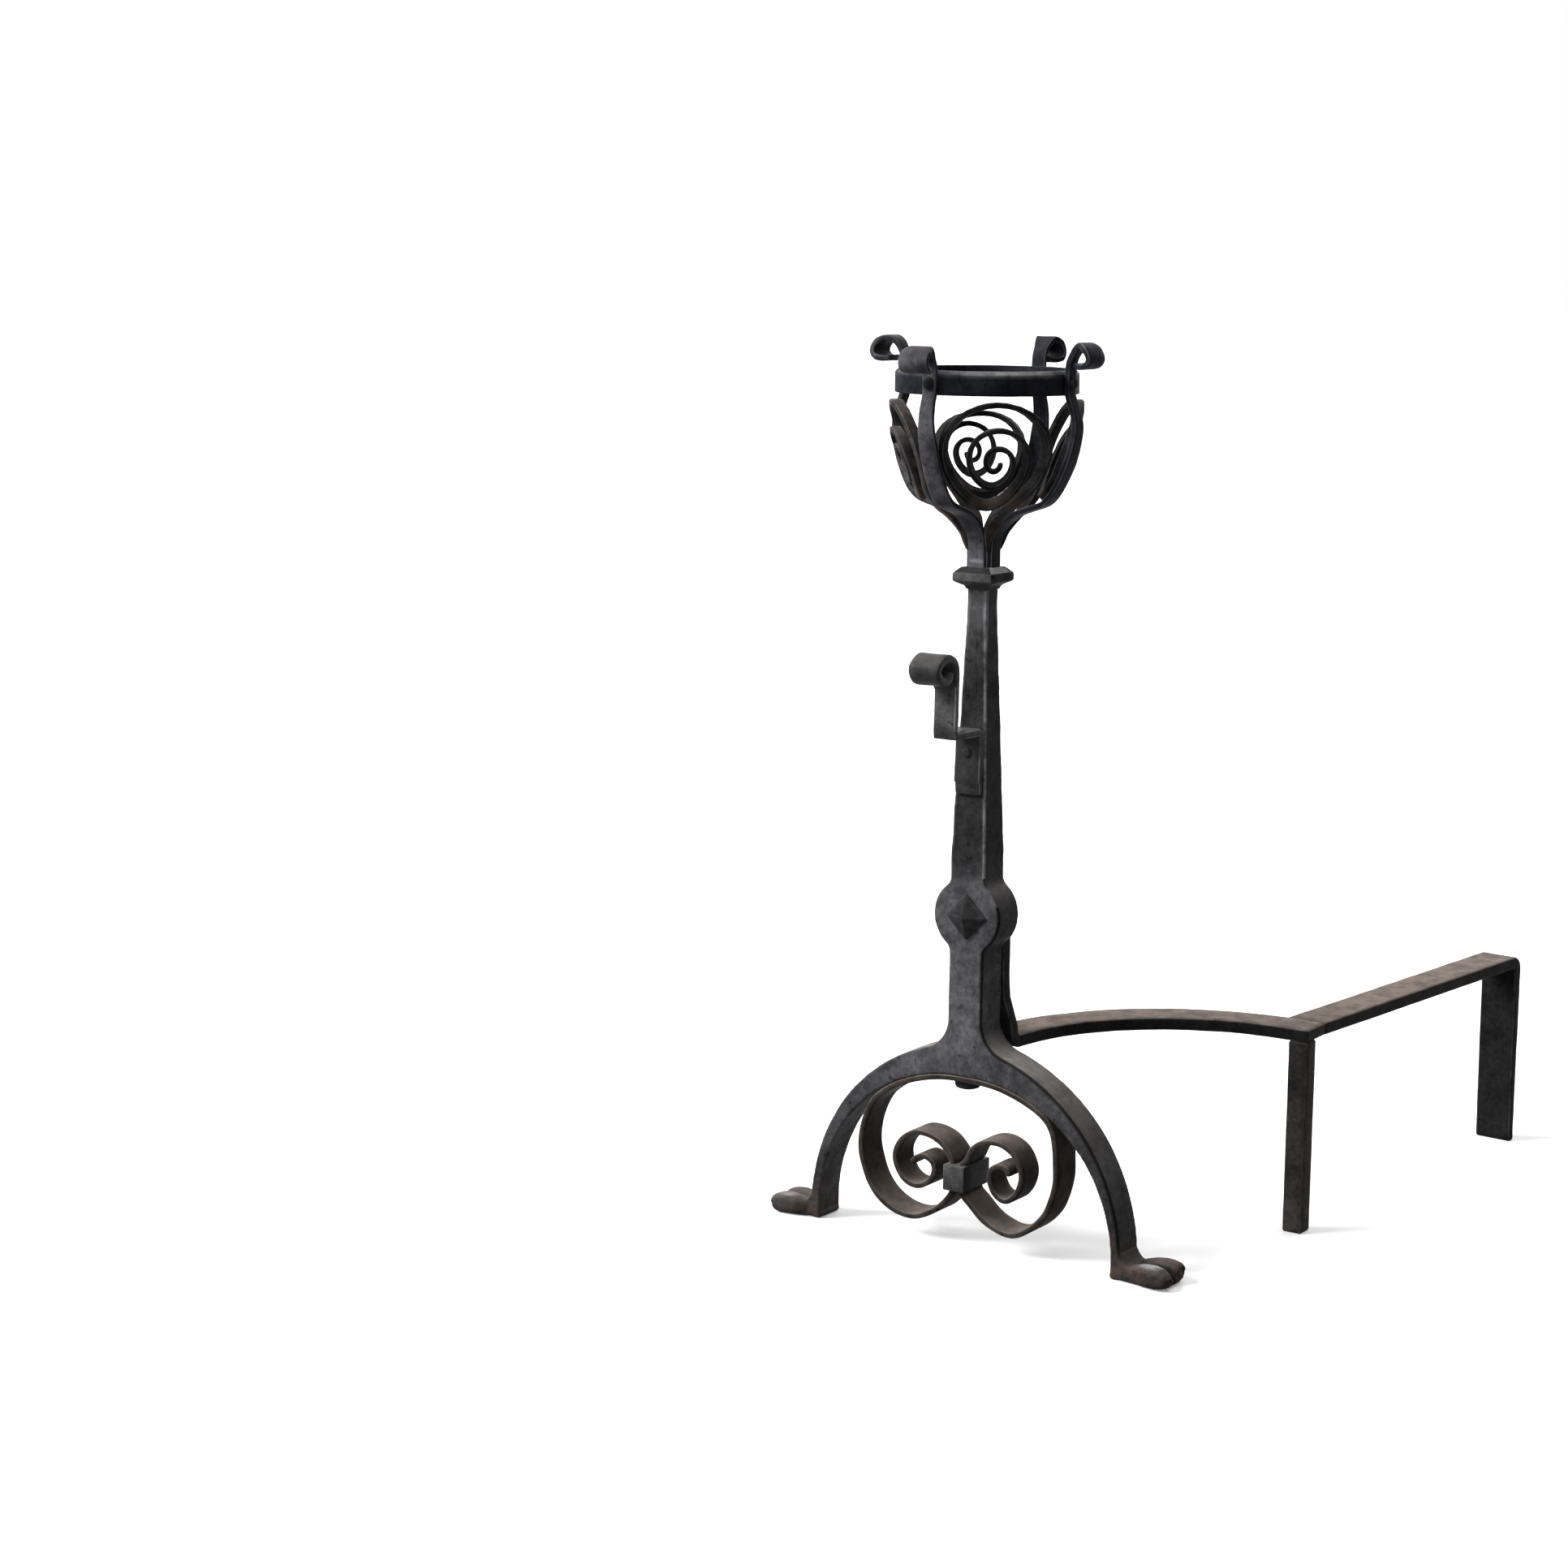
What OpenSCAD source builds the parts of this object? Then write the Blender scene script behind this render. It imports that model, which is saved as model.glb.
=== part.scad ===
// Hand-forged andiron of the right hand side, with a cup basket, a spit hook and an offset billet bar.
// The origin lies on the hearth under the axis of the shaft. X runs right, Y to the back, Z up.

/* [Standard] */
// Width and depth of the square bar that the standard is forged from
bar_w = 23.2; // [18:0.1:28]
// Width of the square shaft just under the basket
shaft_top_w = 13.2; // [10:0.1:18]
// Height at which the shaft begins to taper
taper_low_z = 240; // [234:1:262]
// Height at which the taper of the shaft ends
taper_top_z = 388; // [340:1:394]
// Height of the shoulder that the basket straps stand on
shoulder_z = 406; // [398:1:460]
// Width of the square tang inside the straps
tang_w = 10.6; // [8:0.1:12]
// Height of the tang above the shoulder
tang_h = 16; // [8:1:20]
// Radius of the swelling that carries the stud
boss_r = 22.5; // [17:0.1:26]
// Height of the centre of the swelling
boss_z = 204; // [196:1:212]
// Radius of the blends beside the swelling
boss_blend_r = 7; // [3:0.5:12]

/* [Legs] */
// Radius of the arch between the legs
arch_r = 97; // [85:0.5:110]
// Distance of the centre of each half of the arch from the middle
arch_off = 5; // [1:0.5:8]
// Height of the centre of the arch
arch_z = 9; // [4:0.5:12]
// Thickness of the arch over its crown
crown_t = 20.5; // [15:0.5:24]
// Thickness of a leg at the ankle
ankle_t = 6; // [5:0.5:9]
// Radius of the blend from the shaft into a leg
leg_blend_r = 20; // [10:1:26]
// Reach of a toe beyond the inside of the leg
toe_reach = 40; // [36:1:50]
// How much shorter the left foot is
left_foot_short = 5; // [0:0.5:6]
// Width of a foot across its two toes
foot_w = 31; // [26:1:40]
// Sideways place of the middle of the toes, in front of the leg's middle
foot_shift = 2.5; // [0:0.5:4]
// Height of a toe at its thickest
toe_h = 12.8; // [11:0.1:16]
// Height of the instep between the ankle and the toes
instep_h = 9.5; // [6:0.5:10.5]
// Radius of the cleft between the two toes
cleft_r = 3; // [2:0.5:5]

/* [Stud] */
// Side of the square pyramid head of the stud
stud_side = 19.6; // [14:0.2:24]
// Height of the pyramid head of the stud
stud_h = 6; // [3:0.5:10]
// Diameter of the shank of the stud
stud_shank_d = 9; // [6:0.5:12]
// Diameter of the upset end of the stud at the back
stud_back_d = 15; // [13:0.5:18]
// Height of the upset end of the stud at the back
stud_back_h = 4; // [2:0.5:6]

/* [Arm and billet bar] */
// Width of the flat bar of the arm and the billet bar
flat_w = 25.4; // [22:0.1:28]
// Thickness of the flat bar
flat_t = 8; // [6:0.5:10]
// Height of the top face of the arm and the billet bar
billet_z = 128.4; // [122:0.1:134]
// Radius of the curved arm along its middle
arm_r = 131.5; // [115:0.5:150]
// Distance of the front end of the arm from the middle of the shaft
arm_start_x = 7; // [4:0.5:9]
// Straight length from the arc of the arm to the outer edge of the billet bar
arm_run = 17; // [15:0.5:30]
// Width of the tab that stands up behind the shaft
tab_w = 22; // [20:0.5:24]
// Sideways place of the middle of the tab
tab_x = 2; // [0:0.5:3]
// Height of the top of the tab above the stud
tab_over = 12; // [11:0.5:16]
// Length of the billet bar behind the arm
billet_len = 260; // [180:1:340]
// Angle by which the billet bar points outward
billet_splay = 5.5; // [0:0.5:8]
// Thickness of the rear leg at the hearth
rear_leg_t = 6; // [5:0.5:7.5]
// Width of the square middle leg
mid_leg_w = 12.7; // [10:0.1:16]

/* [Base scroll] */
// Thickness of the scroll band
band_t = 3.5; // [2.5:0.1:4]
// Width of the scroll band from front to back
band_d = 23; // [18:0.5:26]
// Sideways place of the middle of the scroll
scroll_x = -3.5; // [-5:0.5:0]
// Distance of the loops of the scroll from the inside of the ankles
scroll_inset = 33; // [30:0.5:38]
// Height of the lowest point of the loops above the hearth
scroll_foot_z = 12; // [8:0.5:16]
// Height of the middle of the clip
clip_z = 43.3; // [41:0.1:46]
// Height of the clip
clip_h = 16; // [12:0.5:18]
// Wall of the clip
clip_t = 3.6; // [2.5:0.1:4.5]
// Diameter of the head of the rivet under the crown
crown_rivet_d = 15.5; // [12:0.5:18]
// Height of the head of the rivet under the crown
crown_rivet_h = 5.5; // [3:0.5:7]
// Diameter of the shank of the rivet under the crown
crown_shank_d = 8; // [5:0.5:10]
// Depth that the crown rivet reaches into the standard
crown_shank_len = 15; // [10:1:18]

/* [Spit hook] */
// Height of the top face of the hook's arm
hook_z = 317.5; // [300:0.5:330]
// Thickness of the hook strip
hook_t = 4.6; // [3:0.1:5.4]
// Width of the plate that lies on the shaft
hook_plate_w = 17.5; // [14:0.1:20]
// Width of the upright of the hook
hook_neck_w = 14.8; // [10:0.1:17]
// Width of the rolled end
hook_roll_w = 20.4; // [17.6:0.1:26]
// Length of the plate below the arm
hook_plate_len = 40; // [30:1:50]
// Reach of the hook in front of the shaft
hook_reach = 30; // [24:0.5:40]
// Height of the rolled end's top above the arm
hook_rise = 47; // [40:0.5:56]
// Outer diameter of the rolled end from top to bottom
hook_roll_d = 18.5; // [18:0.5:24]
// Outer length of the rolled end from back to front
hook_roll_len = 25; // [22:0.5:28]
// Distance of the rivet below the top face of the hook's arm
hook_rivet_drop = 15; // [10:0.5:20]
// Diameter of the shank of the hook rivet
hook_rivet_d = 6; // [4:0.5:7]

/* [Collar] */
// Width of the square rim of the collar
collar_w = 26.6; // [23:0.1:32]
// Height of the rim of the collar
rim_h = 4.6; // [3:0.1:6]
// Height of the upper bevel of the collar
bevel_top_h = 3.6; // [2.5:0.1:6]
// Height of the lower bevel of the collar
bevel_low_h = 3; // [1.5:0.1:4]
// Height of the cove between the shaft and the lower bevel
cove_h = 2; // [1.5:0.1:5]

/* [Basket] */
// Thickness of the basket straps
strap_t = 3.2; // [2.5:0.1:4]
// Width of a strap where it leaves the collar
strap_foot_w = 12; // [9:0.5:14]
// Width of a strap at the belly of the basket
strap_belly_w = 11.6; // [9:0.1:14]
// Width of a strap where it passes the ring
strap_neck_w = 8.6; // [7.5:0.1:12]
// Width of the rolled end of a strap where it is widest
strap_roll_w = 19; // [14:0.5:22]
// Outer radius of the basket ring
ring_r = 53.5; // [50:0.1:58]
// Thickness of the ring
ring_t = 4; // [3:0.1:6]
// Height of the ring
ring_h = 14; // [10:0.5:18]
// Height of the ring's lower edge above the shoulder
ring_lift = 106.3; // [104:0.1:116]
// Bevel on the upper edge of the ring
ring_bevel = 3.6; // [1:0.1:3.8]
// Outer radius of the basket at its belly
belly_r = 62; // [59:0.1:66]
// Height of the belly above the shoulder
belly_lift = 83; // [78:1:86]
// Height of the basket's floor above the shoulder, where the straps turn up
floor_lift = 38.5; // [35:0.5:42]
// Outward reach of the longest rolled end beyond the ring
roll_reach = 22; // [18:0.5:26]
// Height of the highest rolled end above the ring
roll_rise = 18; // [16:0.5:24]
// Diameter of the ring rivets
ring_rivet_d = 4; // [3:0.5:5]
// Diameter of the heads of the ring rivets
ring_head_d = 7; // [6:0.5:8]
// Height of the heads of the ring rivets
ring_head_h = 2.6; // [1.5:0.1:4]

/* [Rosettes] */
// Height of the eye of a rosette above the shoulder
eye_lift = 68.5; // [67:0.5:70]
// Size of the rosettes beside their drawn size
rose_size = 1; // [0.94:0.01:1.02]
// Depth of the rosette bar in its outer turn
rose_deep = 7; // [4:0.1:8]
// Thickness of the rosette bar in its outer turn
rose_thick = 3; // [2:0.1:3.4]
// Size of the rosette bar at its eye
rose_tip = 1.9; // [1.2:0.1:2.6]

/* [Fits] */
// Gap on each side of a shank in its hole
shank_fit = 0.1; // [0.05:0.01:0.2]
// Gap between pieces that lie on each other without a weld
seat_gap = 0.1; // [0.02:0.01:0.2]

/* [Hidden] */
$fn = 64;

// Colours of blackened iron: lit faces, scale, rubbed edges
iron = [0.20, 0.20, 0.21];
iron_rubbed = [0.33, 0.31, 0.30];
iron_dark = [0.13, 0.13, 0.14];

// Long enough to cut right through any piece
through = 400;

// The four straps as the smith left them, front first: direction, sideways lean at the ring,
// flatter bowl, shorter reach, lower roll
strap_turns = [-90, 0, 90, 180];
strap_leans = [-4.8, 0, -2.9, 0];
strap_slims = [0, 2, 0, 0];
roll_short = [0, 3, 3.5, 0];
roll_drop = [4, 1.5, 0.5, 0];

// The four rosettes, front right first: sideways place of the eye in its bay, and size
rose_eyes = [-5.1, -3.5, -2.6, -3];
rose_sizes = [1, 0.92, 0.92, 0.9];
// Their outer turns at the side, the top and the other side, as distances from the eye
rose_outers = [[35.4, 33, 33], [35.4, 35.5, 33], [26, 24.5, 37], [35.4, 36, 33]];

bar_half = bar_w / 2;
shaft_half = shaft_top_w / 2;
crown_z = arch_z + arch_r;
leg_out_r = arch_r + crown_t;
ankle_x = arch_off + arch_r;
leg_out_x = ankle_x + ankle_t - leg_out_r;

// Half the width of the shaft at a height
function shaft_half_at(z) =
    z < taper_low_z ? bar_half
    : z > taper_top_z ? shaft_half
    : bar_half + (shaft_half - bar_half) * (z - taper_low_z) / (taper_top_z - taper_low_z);

// Height from the centre of a circle to the centre of a blend beside an upright face
function blend_rise(face_x, blend_r, circle_x, circle_r) =
    sqrt(pow(circle_r + blend_r, 2) - pow(face_x + blend_r - circle_x, 2));

// Smooth curve through a list of points, with even steps between neighbours
function curve(p, steps = 5) = concat(
    [for (i = [0 : len(p) - 2])
        let (a = p[max(i - 1, 0)], b = p[i], c = p[i + 1], d = p[min(i + 2, len(p) - 1)])
        for (j = [0 : steps - 1])
            let (t = j / steps)
            b + t * (c - a) / 2
                + t * t * (2 * a - 5 * b + 4 * c - d) / 2
                + t * t * t * (3 * b - a - 3 * c + d) / 2],
    [p[len(p) - 1]]);

// Points along an arc
function arc(centre, r, from, to, n) =
    [for (i = [0 : n]) let (a = from + (to - from) * i / n) centre + r * [cos(a), sin(a)]];

function unit(v) = v / norm(v);
function heading(p, i) = unit(p[min(i + 1, len(p) - 1)] - p[max(i - 1, 0)]);
function side_step(p, i, by) = let (h = heading(p, i)) p[i] + by * [-h[1], h[0]];
function reversed(p) = [for (i = [len(p) - 1 : -1 : 0]) p[i]];

// Outline of a flat strip that follows a path, seen on its edge
module strip_outline(path, t) {
    last = len(path) - 1;
    polygon(concat(
        [for (i = [0 : last]) side_step(path, i, t / 2)],
        [for (i = [last : -1 : 0]) side_step(path, i, -t / 2)]));
}

// Solid whose outline is drawn in the X and Z plane, centred on Y
module front_extrude(depth) {
    rotate([90, 0, 0])
        linear_extrude(depth, center = true)
            children();
}

// Solid whose outline is drawn in the Y and Z plane, centred on X
module side_extrude(width) {
    rotate([90, 0, 90])
        linear_extrude(width, center = true)
            children();
}

// ---- Standard: one bar, split below and spread into two legs ----

// Web of metal between an upright face and a circle, rounded to a radius
module blend_web(face_x, blend_r, circle_x, circle_z, circle_r, side) {
    rise = side * blend_rise(face_x, blend_r, circle_x, circle_r);
    blend_x = face_x + blend_r;
    touch = [circle_x, circle_z] + [blend_x - circle_x, rise] * circle_r / (circle_r + blend_r);
    difference() {
        polygon([[0, circle_z + rise], [blend_x, circle_z + rise], touch, [0, circle_z]]);
        translate([blend_x, circle_z + rise])
            circle(blend_r);
    }
}

module half_standard_outline() {
    difference() {
        union() {
            polygon([
                [0, 0], [bar_half, 0], [bar_half, taper_low_z],
                [shaft_half, taper_top_z], [shaft_half, shoulder_z], [0, shoulder_z]]);
            intersection() {
                translate([0, boss_z - boss_r])
                    square([boss_r, 2 * boss_r]);
                translate([0, boss_z])
                    circle(boss_r);
            }
            blend_web(bar_half, boss_blend_r, 0, boss_z, boss_r, 1);
            blend_web(bar_half, boss_blend_r, 0, boss_z, boss_r, -1);
            intersection() {
                translate([leg_out_x, arch_z])
                    circle(leg_out_r, $fn = 160);
                square([ankle_x + 2 * ankle_t, leg_out_r + 2 * arch_z]);
            }
            blend_web(bar_half, leg_blend_r, leg_out_x, arch_z, leg_out_r, 1);
        }
        translate([arch_off, arch_z])
            circle(arch_r, $fn = 160);
        translate([-1, -1])
            square([arch_off + 1, crown_z + 1]);
    }
}

module standard_side_outline() {
    polygon([
        [-bar_half, 0], [bar_half, 0], [bar_half, taper_low_z],
        [shaft_half, taper_top_z], [shaft_half, shoulder_z],
        [-shaft_half, shoulder_z], [-shaft_half, taper_top_z], [-bar_half, taper_low_z]]);
}

// Cloven foot: two round toes that flare from the ankle and run a little into each other
toe_r = foot_w / 4 + 0.1;
toe_y = foot_w / 2 - toe_r;
foot_back_x = ankle_t / 4;

module foot(reach) {
    nose_r = toe_h / 2;
    nose_x = reach - nose_r + 0.6;
    toe_x = reach - toe_r;
    intersection() {
        linear_extrude(toe_h + instep_h)
            union() {
                for (side = [-1, 1])
                    translate([toe_x, side * toe_y - foot_shift])
                        circle(toe_r);
                polygon([
                    [foot_back_x, -bar_half], [ankle_t, -bar_half],
                    [toe_x, -foot_w / 2 - foot_shift], [toe_x, foot_w / 2 - foot_shift],
                    [ankle_t, bar_half], [foot_back_x, bar_half]]);
            }
        front_extrude(2 * foot_w)
            union() {
                polygon([
                    [foot_back_x, 0], [foot_back_x, instep_h + ankle_t], [ankle_t, instep_h + ankle_t / 2],
                    [2 * ankle_t, instep_h], [toe_x - toe_r, instep_h],
                    [reach - 2 * nose_r, toe_h], [nose_x, toe_h], [nose_x, 0]]);
                translate([nose_x, nose_r])
                    circle(nose_r);
            }
    }
}

module cleft(reach) {
    translate([reach - 3 * toe_r, -foot_shift, toe_h])
        rotate([0, 90, 0])
            cylinder(r = cleft_r, h = reach);
}

module standard() {
    color(iron)
        difference() {
            union() {
                intersection() {
                    front_extrude(2 * bar_w)
                        union() {
                            half_standard_outline();
                            mirror([1, 0])
                                half_standard_outline();
                        }
                    side_extrude(through)
                        standard_side_outline();
                }
                translate([-tang_w / 2, -tang_w / 2, shoulder_z - 1])
                    cube([tang_w, tang_w, tang_h + 1]);
                for (side = [0, 1])
                    mirror([side, 0, 0])
                        translate([ankle_x, 0, 0])
                            difference() {
                                foot(toe_reach - side * left_foot_short);
                                cleft(toe_reach - side * left_foot_short);
                            }
            }
            translate([0, 0, boss_z])
                rotate([90, 0, 0])
                    cylinder(d = stud_shank_d + 2 * shank_fit, h = through, center = true);
            translate([0, 0, hook_z - hook_rivet_drop])
                rotate([90, 0, 0])
                    cylinder(d = hook_rivet_d + 2 * shank_fit, h = through, center = true);
            translate([scroll_x, 0, crown_z - 1])
                cylinder(d = crown_shank_d + 2 * shank_fit, h = crown_shank_len + 1 + shank_fit);
        }
}

// ---- Stud: pyramid head in front, shank through boss and tab, upset end behind ----

tab_front_y = bar_half + seat_gap;
tab_back_y = tab_front_y + flat_t;

module stud() {
    head_y = -bar_half - seat_gap;
    color(iron_dark)
        translate([0, 0, boss_z]) {
            translate([0, head_y, 0])
                rotate([90, 0, 0])
                    intersection() {
                        rotate([0, 0, 45])
                            translate([-stud_side / 2, -stud_side / 2, 0])
                                cube([stud_side, stud_side, stud_h]);
                        rotate([0, 0, 45])
                            stud_roof();
                        rotate([0, 0, 135])
                            stud_roof();
                    }
            rotate([-90, 0, 0])
                translate([0, 0, head_y - stud_h / 4])
                    cylinder(d = stud_shank_d, h = tab_back_y + seat_gap - head_y + stud_h / 4 + stud_back_h / 3);
            translate([0, tab_back_y + seat_gap, 0])
                rotate([-90, 0, 0])
                    cylinder(d1 = stud_back_d, d2 = stud_back_d * 0.6, h = stud_back_h);
        }
}

// Two slopes that meet in a ridge, over the square of the stud's head
module stud_roof() {
    rotate([90, 0, 0])
        linear_extrude(2 * stud_side, center = true)
            polygon([
                [-stud_side / 2, 0], [stud_side / 2, 0], [stud_side / 2, 1],
                [0, stud_h], [-stud_side / 2, 1]]);
}

// ---- Arm: flat bar, bent up behind the shaft and curved to the right in plan ----

arm_centre = [arm_start_x + arm_r, tab_front_y + flat_t / 2];
arm_end_x = arm_centre[0] + arm_run;
arm_back_y = arm_centre[1] + arm_r + flat_w / 2;
arm_front_y = arm_back_y - flat_w;

module arm_plan() {
    union() {
        intersection() {
            difference() {
                translate(arm_centre)
                    circle(arm_r + flat_w / 2, $fn = 160);
                translate(arm_centre)
                    circle(arm_r - flat_w / 2, $fn = 160);
            }
            translate([arm_centre[0] - 2 * arm_r, arm_centre[1]])
                square(2 * arm_r);
        }
        translate([arm_centre[0], arm_front_y])
            square([arm_run, flat_w]);
        translate([arm_start_x - flat_w / 2, tab_front_y])
            square([flat_w, flat_t / 2]);
    }
}

module tab_outline() {
    top_z = boss_z + tab_over;
    low_z = billet_z - flat_t;
    polygon([
        [arm_start_x - flat_w / 2, low_z], [arm_start_x + flat_w / 2, low_z],
        [arm_start_x + flat_w / 2, billet_z], [tab_x + tab_w / 2, billet_z + flat_w / 2],
        [tab_x + tab_w / 2, top_z - tab_w / 4], [tab_x + tab_w / 4, top_z],
        [tab_x - tab_w / 4, top_z], [tab_x - tab_w / 2, top_z - tab_w / 4],
        [tab_x - tab_w / 2, billet_z + flat_w / 2], [arm_start_x - flat_w / 2, billet_z]]);
}

module curved_arm() {
    color(iron_rubbed)
        difference() {
            union() {
                translate([0, 0, billet_z - flat_t])
                    linear_extrude(flat_t)
                        arm_plan();
                translate([0, (tab_front_y + tab_back_y) / 2, 0])
                    front_extrude(flat_t)
                        tab_outline();
            }
            translate([0, 0, boss_z])
                rotate([90, 0, 0])
                    cylinder(d = stud_shank_d + 2 * shank_fit, h = through, center = true);
        }
}

// ---- Billet bar: welded to the back of the arm, bent down behind as the rear leg ----

billet_start = [arm_end_x - flat_w / 2, arm_back_y];

module billet_side_outline() {
    polygon([
        [-flat_t, billet_z - flat_t], [-flat_t, billet_z], [billet_len - flat_t / 2, billet_z],
        [billet_len, billet_z - flat_t / 2], [billet_len, 0], [billet_len - rear_leg_t, 0],
        [billet_len - flat_t, billet_z - flat_t]]);
}

module billet_bar() {
    color(iron_rubbed)
        difference() {
            translate([billet_start[0], billet_start[1], 0])
                rotate([0, 0, -billet_splay])
                    side_extrude(flat_w)
                        billet_side_outline();
            translate([0, billet_start[1] + seat_gap - through, 0])
                cube([through, through, through]);
        }
}

// ---- Middle leg: square bar under the corner, flush with the front and side of the arm ----

module middle_leg() {
    color(iron_dark)
        translate([arm_end_x - mid_leg_w, arm_front_y, 0])
            cube([mid_leg_w, mid_leg_w, billet_z - flat_t - seat_gap]);
}

// ---- Base scroll: one flat band under the arch, rolled in at both ends ----

band_half = band_t / 2;
lie_r = arch_r - seat_gap - band_half;

// Where the band leaves the arch, measured from the middle of the scroll
leave_angle = 62;
clip_low = clip_z - clip_h / 2;
clip_top = clip_z + clip_h / 2;
band_x = band_half + seat_gap + 0.2;
loop_x = ankle_x - scroll_inset - band_half;
loop_low = scroll_foot_z + band_half;
leave_z = arch_z + lie_r * sin(leave_angle);

// Sideways steps, from the clip out to the side of a loop
function out_x(share) = band_x + share * (loop_x - band_x);
// Heights of a loop, from its foot up to where it leaves the arch
function loop_z(share) = loop_low + share * (leave_z - loop_low);
// Heights between the foot of a loop and the lower edge of the clip
function rise_z(share) = loop_low + share * (clip_low - loop_low);

// Free part of each half below the clip: down the loop, round its foot and up.
// Steps are sideways from the middle of the scroll, and heights.
left_loop = [
    [out_x(0.78), loop_z(0.94)], [out_x(0.882), loop_z(0.865)], [out_x(0.963), loop_z(0.747)],
    [out_x(1.014), loop_z(0.613)], [out_x(1.028), loop_z(0.469)], [out_x(0.99), loop_z(0.336)],
    [out_x(0.915), loop_z(0.193)], [out_x(0.79), loop_z(0.083)],
    [out_x(0.615), loop_z(0.012)], [out_x(0.41), loop_low],
    [out_x(0.21), rise_z(0.26)], [out_x(0.09), rise_z(0.56)], [band_x + 0.9, clip_low - 3.2],
    [band_x, clip_low - 0.4]];
right_loop = [
    [out_x(0.885), loop_z(0.94)], [out_x(0.957), loop_z(0.85)], [out_x(0.988), loop_z(0.735)],
    [out_x(1), loop_z(0.609)], [out_x(1), loop_z(0.47)], [out_x(0.957), loop_z(0.326)],
    [out_x(0.892), loop_z(0.205)], [out_x(0.77), loop_z(0.096)], [out_x(0.61), loop_z(0.015)],
    [out_x(0.485), loop_low], [out_x(0.355), rise_z(0.1)], [out_x(0.228), rise_z(0.29)],
    [out_x(0.088), rise_z(0.66)], [band_x + 0.9, clip_low - 3.2],
    [band_x, clip_low - 0.4]];

// Free part of each half above the clip: out, over and round into the eye
left_eye = [
    [band_x, clip_top + 0.3], [band_x + 0.7, clip_top + 2.2], [4.8, clip_top + 4.1], [9.8, clip_top + 6.2],
    [18, clip_top + 10.8], [25, clip_top + 14],
    [32.6, clip_top + 13.8], [40.6, clip_top + 8.4], [44.8, clip_top], [44, clip_z],
    [37.4, clip_z - 8.4], [28.8, clip_z - 10.6], [21.4, clip_z - 6.4], [19.6, clip_z + 0.4],
    [22, clip_z + 5.6], [27.6, clip_z + 7.6], [32.6, clip_z + 5.4], [34, clip_z + 0.8],
    [31.2, clip_z - 2.4]];
right_eye = [
    [band_x, clip_top + 0.3], [band_x + 0.7, clip_top + 2.4], [5.2, clip_top + 5.2], [10.8, clip_top + 9.6],
    [20.3, clip_top + 14.8], [31, clip_top + 14.6],
    [39.6, clip_top + 9], [43, clip_top - 1.4], [39.8, clip_z - 3.4], [33.4, clip_z - 9.4],
    [26.4, clip_z - 7.4], [22.4, clip_z + 1], [24, clip_z + 7], [29, clip_z + 9.6],
    [34.4, clip_z + 7.6], [36, clip_z + 3], [33, clip_z - 0.4]];

function lie_arc(side) = arc([side * arch_off, arch_z], lie_r, 90, side > 0 ? leave_angle : 180 - leave_angle, 8);

// Path of one half, from the crown outward
function half_scroll(side, loop, eye) =
    let (lie = lie_arc(side))
    concat(
        [for (i = [0 : 7]) lie[i]],
        curve(concat([lie[8]], placed(side, loop)), 4),
        curve(placed(side, eye), 4));

function placed(side, steps) = [for (p = steps) [scroll_x + side * p[0], p[1]]];

scroll_path = concat(reversed(half_scroll(-1, left_loop, left_eye)), half_scroll(1, right_loop, right_eye));

module base_scroll() {
    color(iron_dark)
        difference() {
            front_extrude(band_d)
                strip_outline(scroll_path, band_t);
            translate([scroll_x, 0, crown_z - 2 * band_t])
                cylinder(d = crown_shank_d + 2 * shank_fit, h = 3 * band_t);
        }
}

// Clip that holds the two sides of the band together
module scroll_clip() {
    hole_w = 2 * (band_x + band_half + seat_gap);
    hole_d = band_d + 2 * seat_gap;
    color(iron)
        translate([scroll_x, 0, clip_low])
            linear_extrude(clip_h)
                difference() {
                    square([hole_w + 2 * clip_t, hole_d + 2 * clip_t], center = true);
                    square([hole_w, hole_d], center = true);
                }
}

module crown_rivet() {
    head_top = crown_z - 2 * seat_gap - band_t;
    color(iron_dark)
        translate([scroll_x, 0, head_top]) {
            translate([0, 0, -crown_rivet_h / 4])
                cylinder(d = crown_shank_d, h = crown_rivet_h / 4 + crown_shank_len + band_t + 2 * seat_gap);
            translate([0, 0, -crown_rivet_h / 2])
                cylinder(d = crown_rivet_d, h = crown_rivet_h / 2);
            translate([0, 0, -crown_rivet_h])
                cylinder(d1 = crown_rivet_d * 0.7, d2 = crown_rivet_d, h = crown_rivet_h / 2);
        }
}

// ---- Spit hook: strip on the front of the shaft, bent forward, up and rolled ----

hook_face = [
    for (z = [hook_z - hook_plate_len, hook_z])
        -shaft_half_at(z) - seat_gap - hook_t / 2];
hook_up_y = hook_face[1] - hook_reach + hook_t / 2;
hook_mid_z = hook_z - hook_t / 2;
roll_top_z = hook_z + hook_rise - hook_t / 2;
roll_low_z = roll_top_z - hook_roll_d + hook_t;
roll_front_y = hook_up_y - hook_roll_len + hook_t;
roll_mid_y = (hook_up_y + roll_front_y) / 2;
roll_mid_z = (roll_top_z + roll_low_z) / 2;

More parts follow.
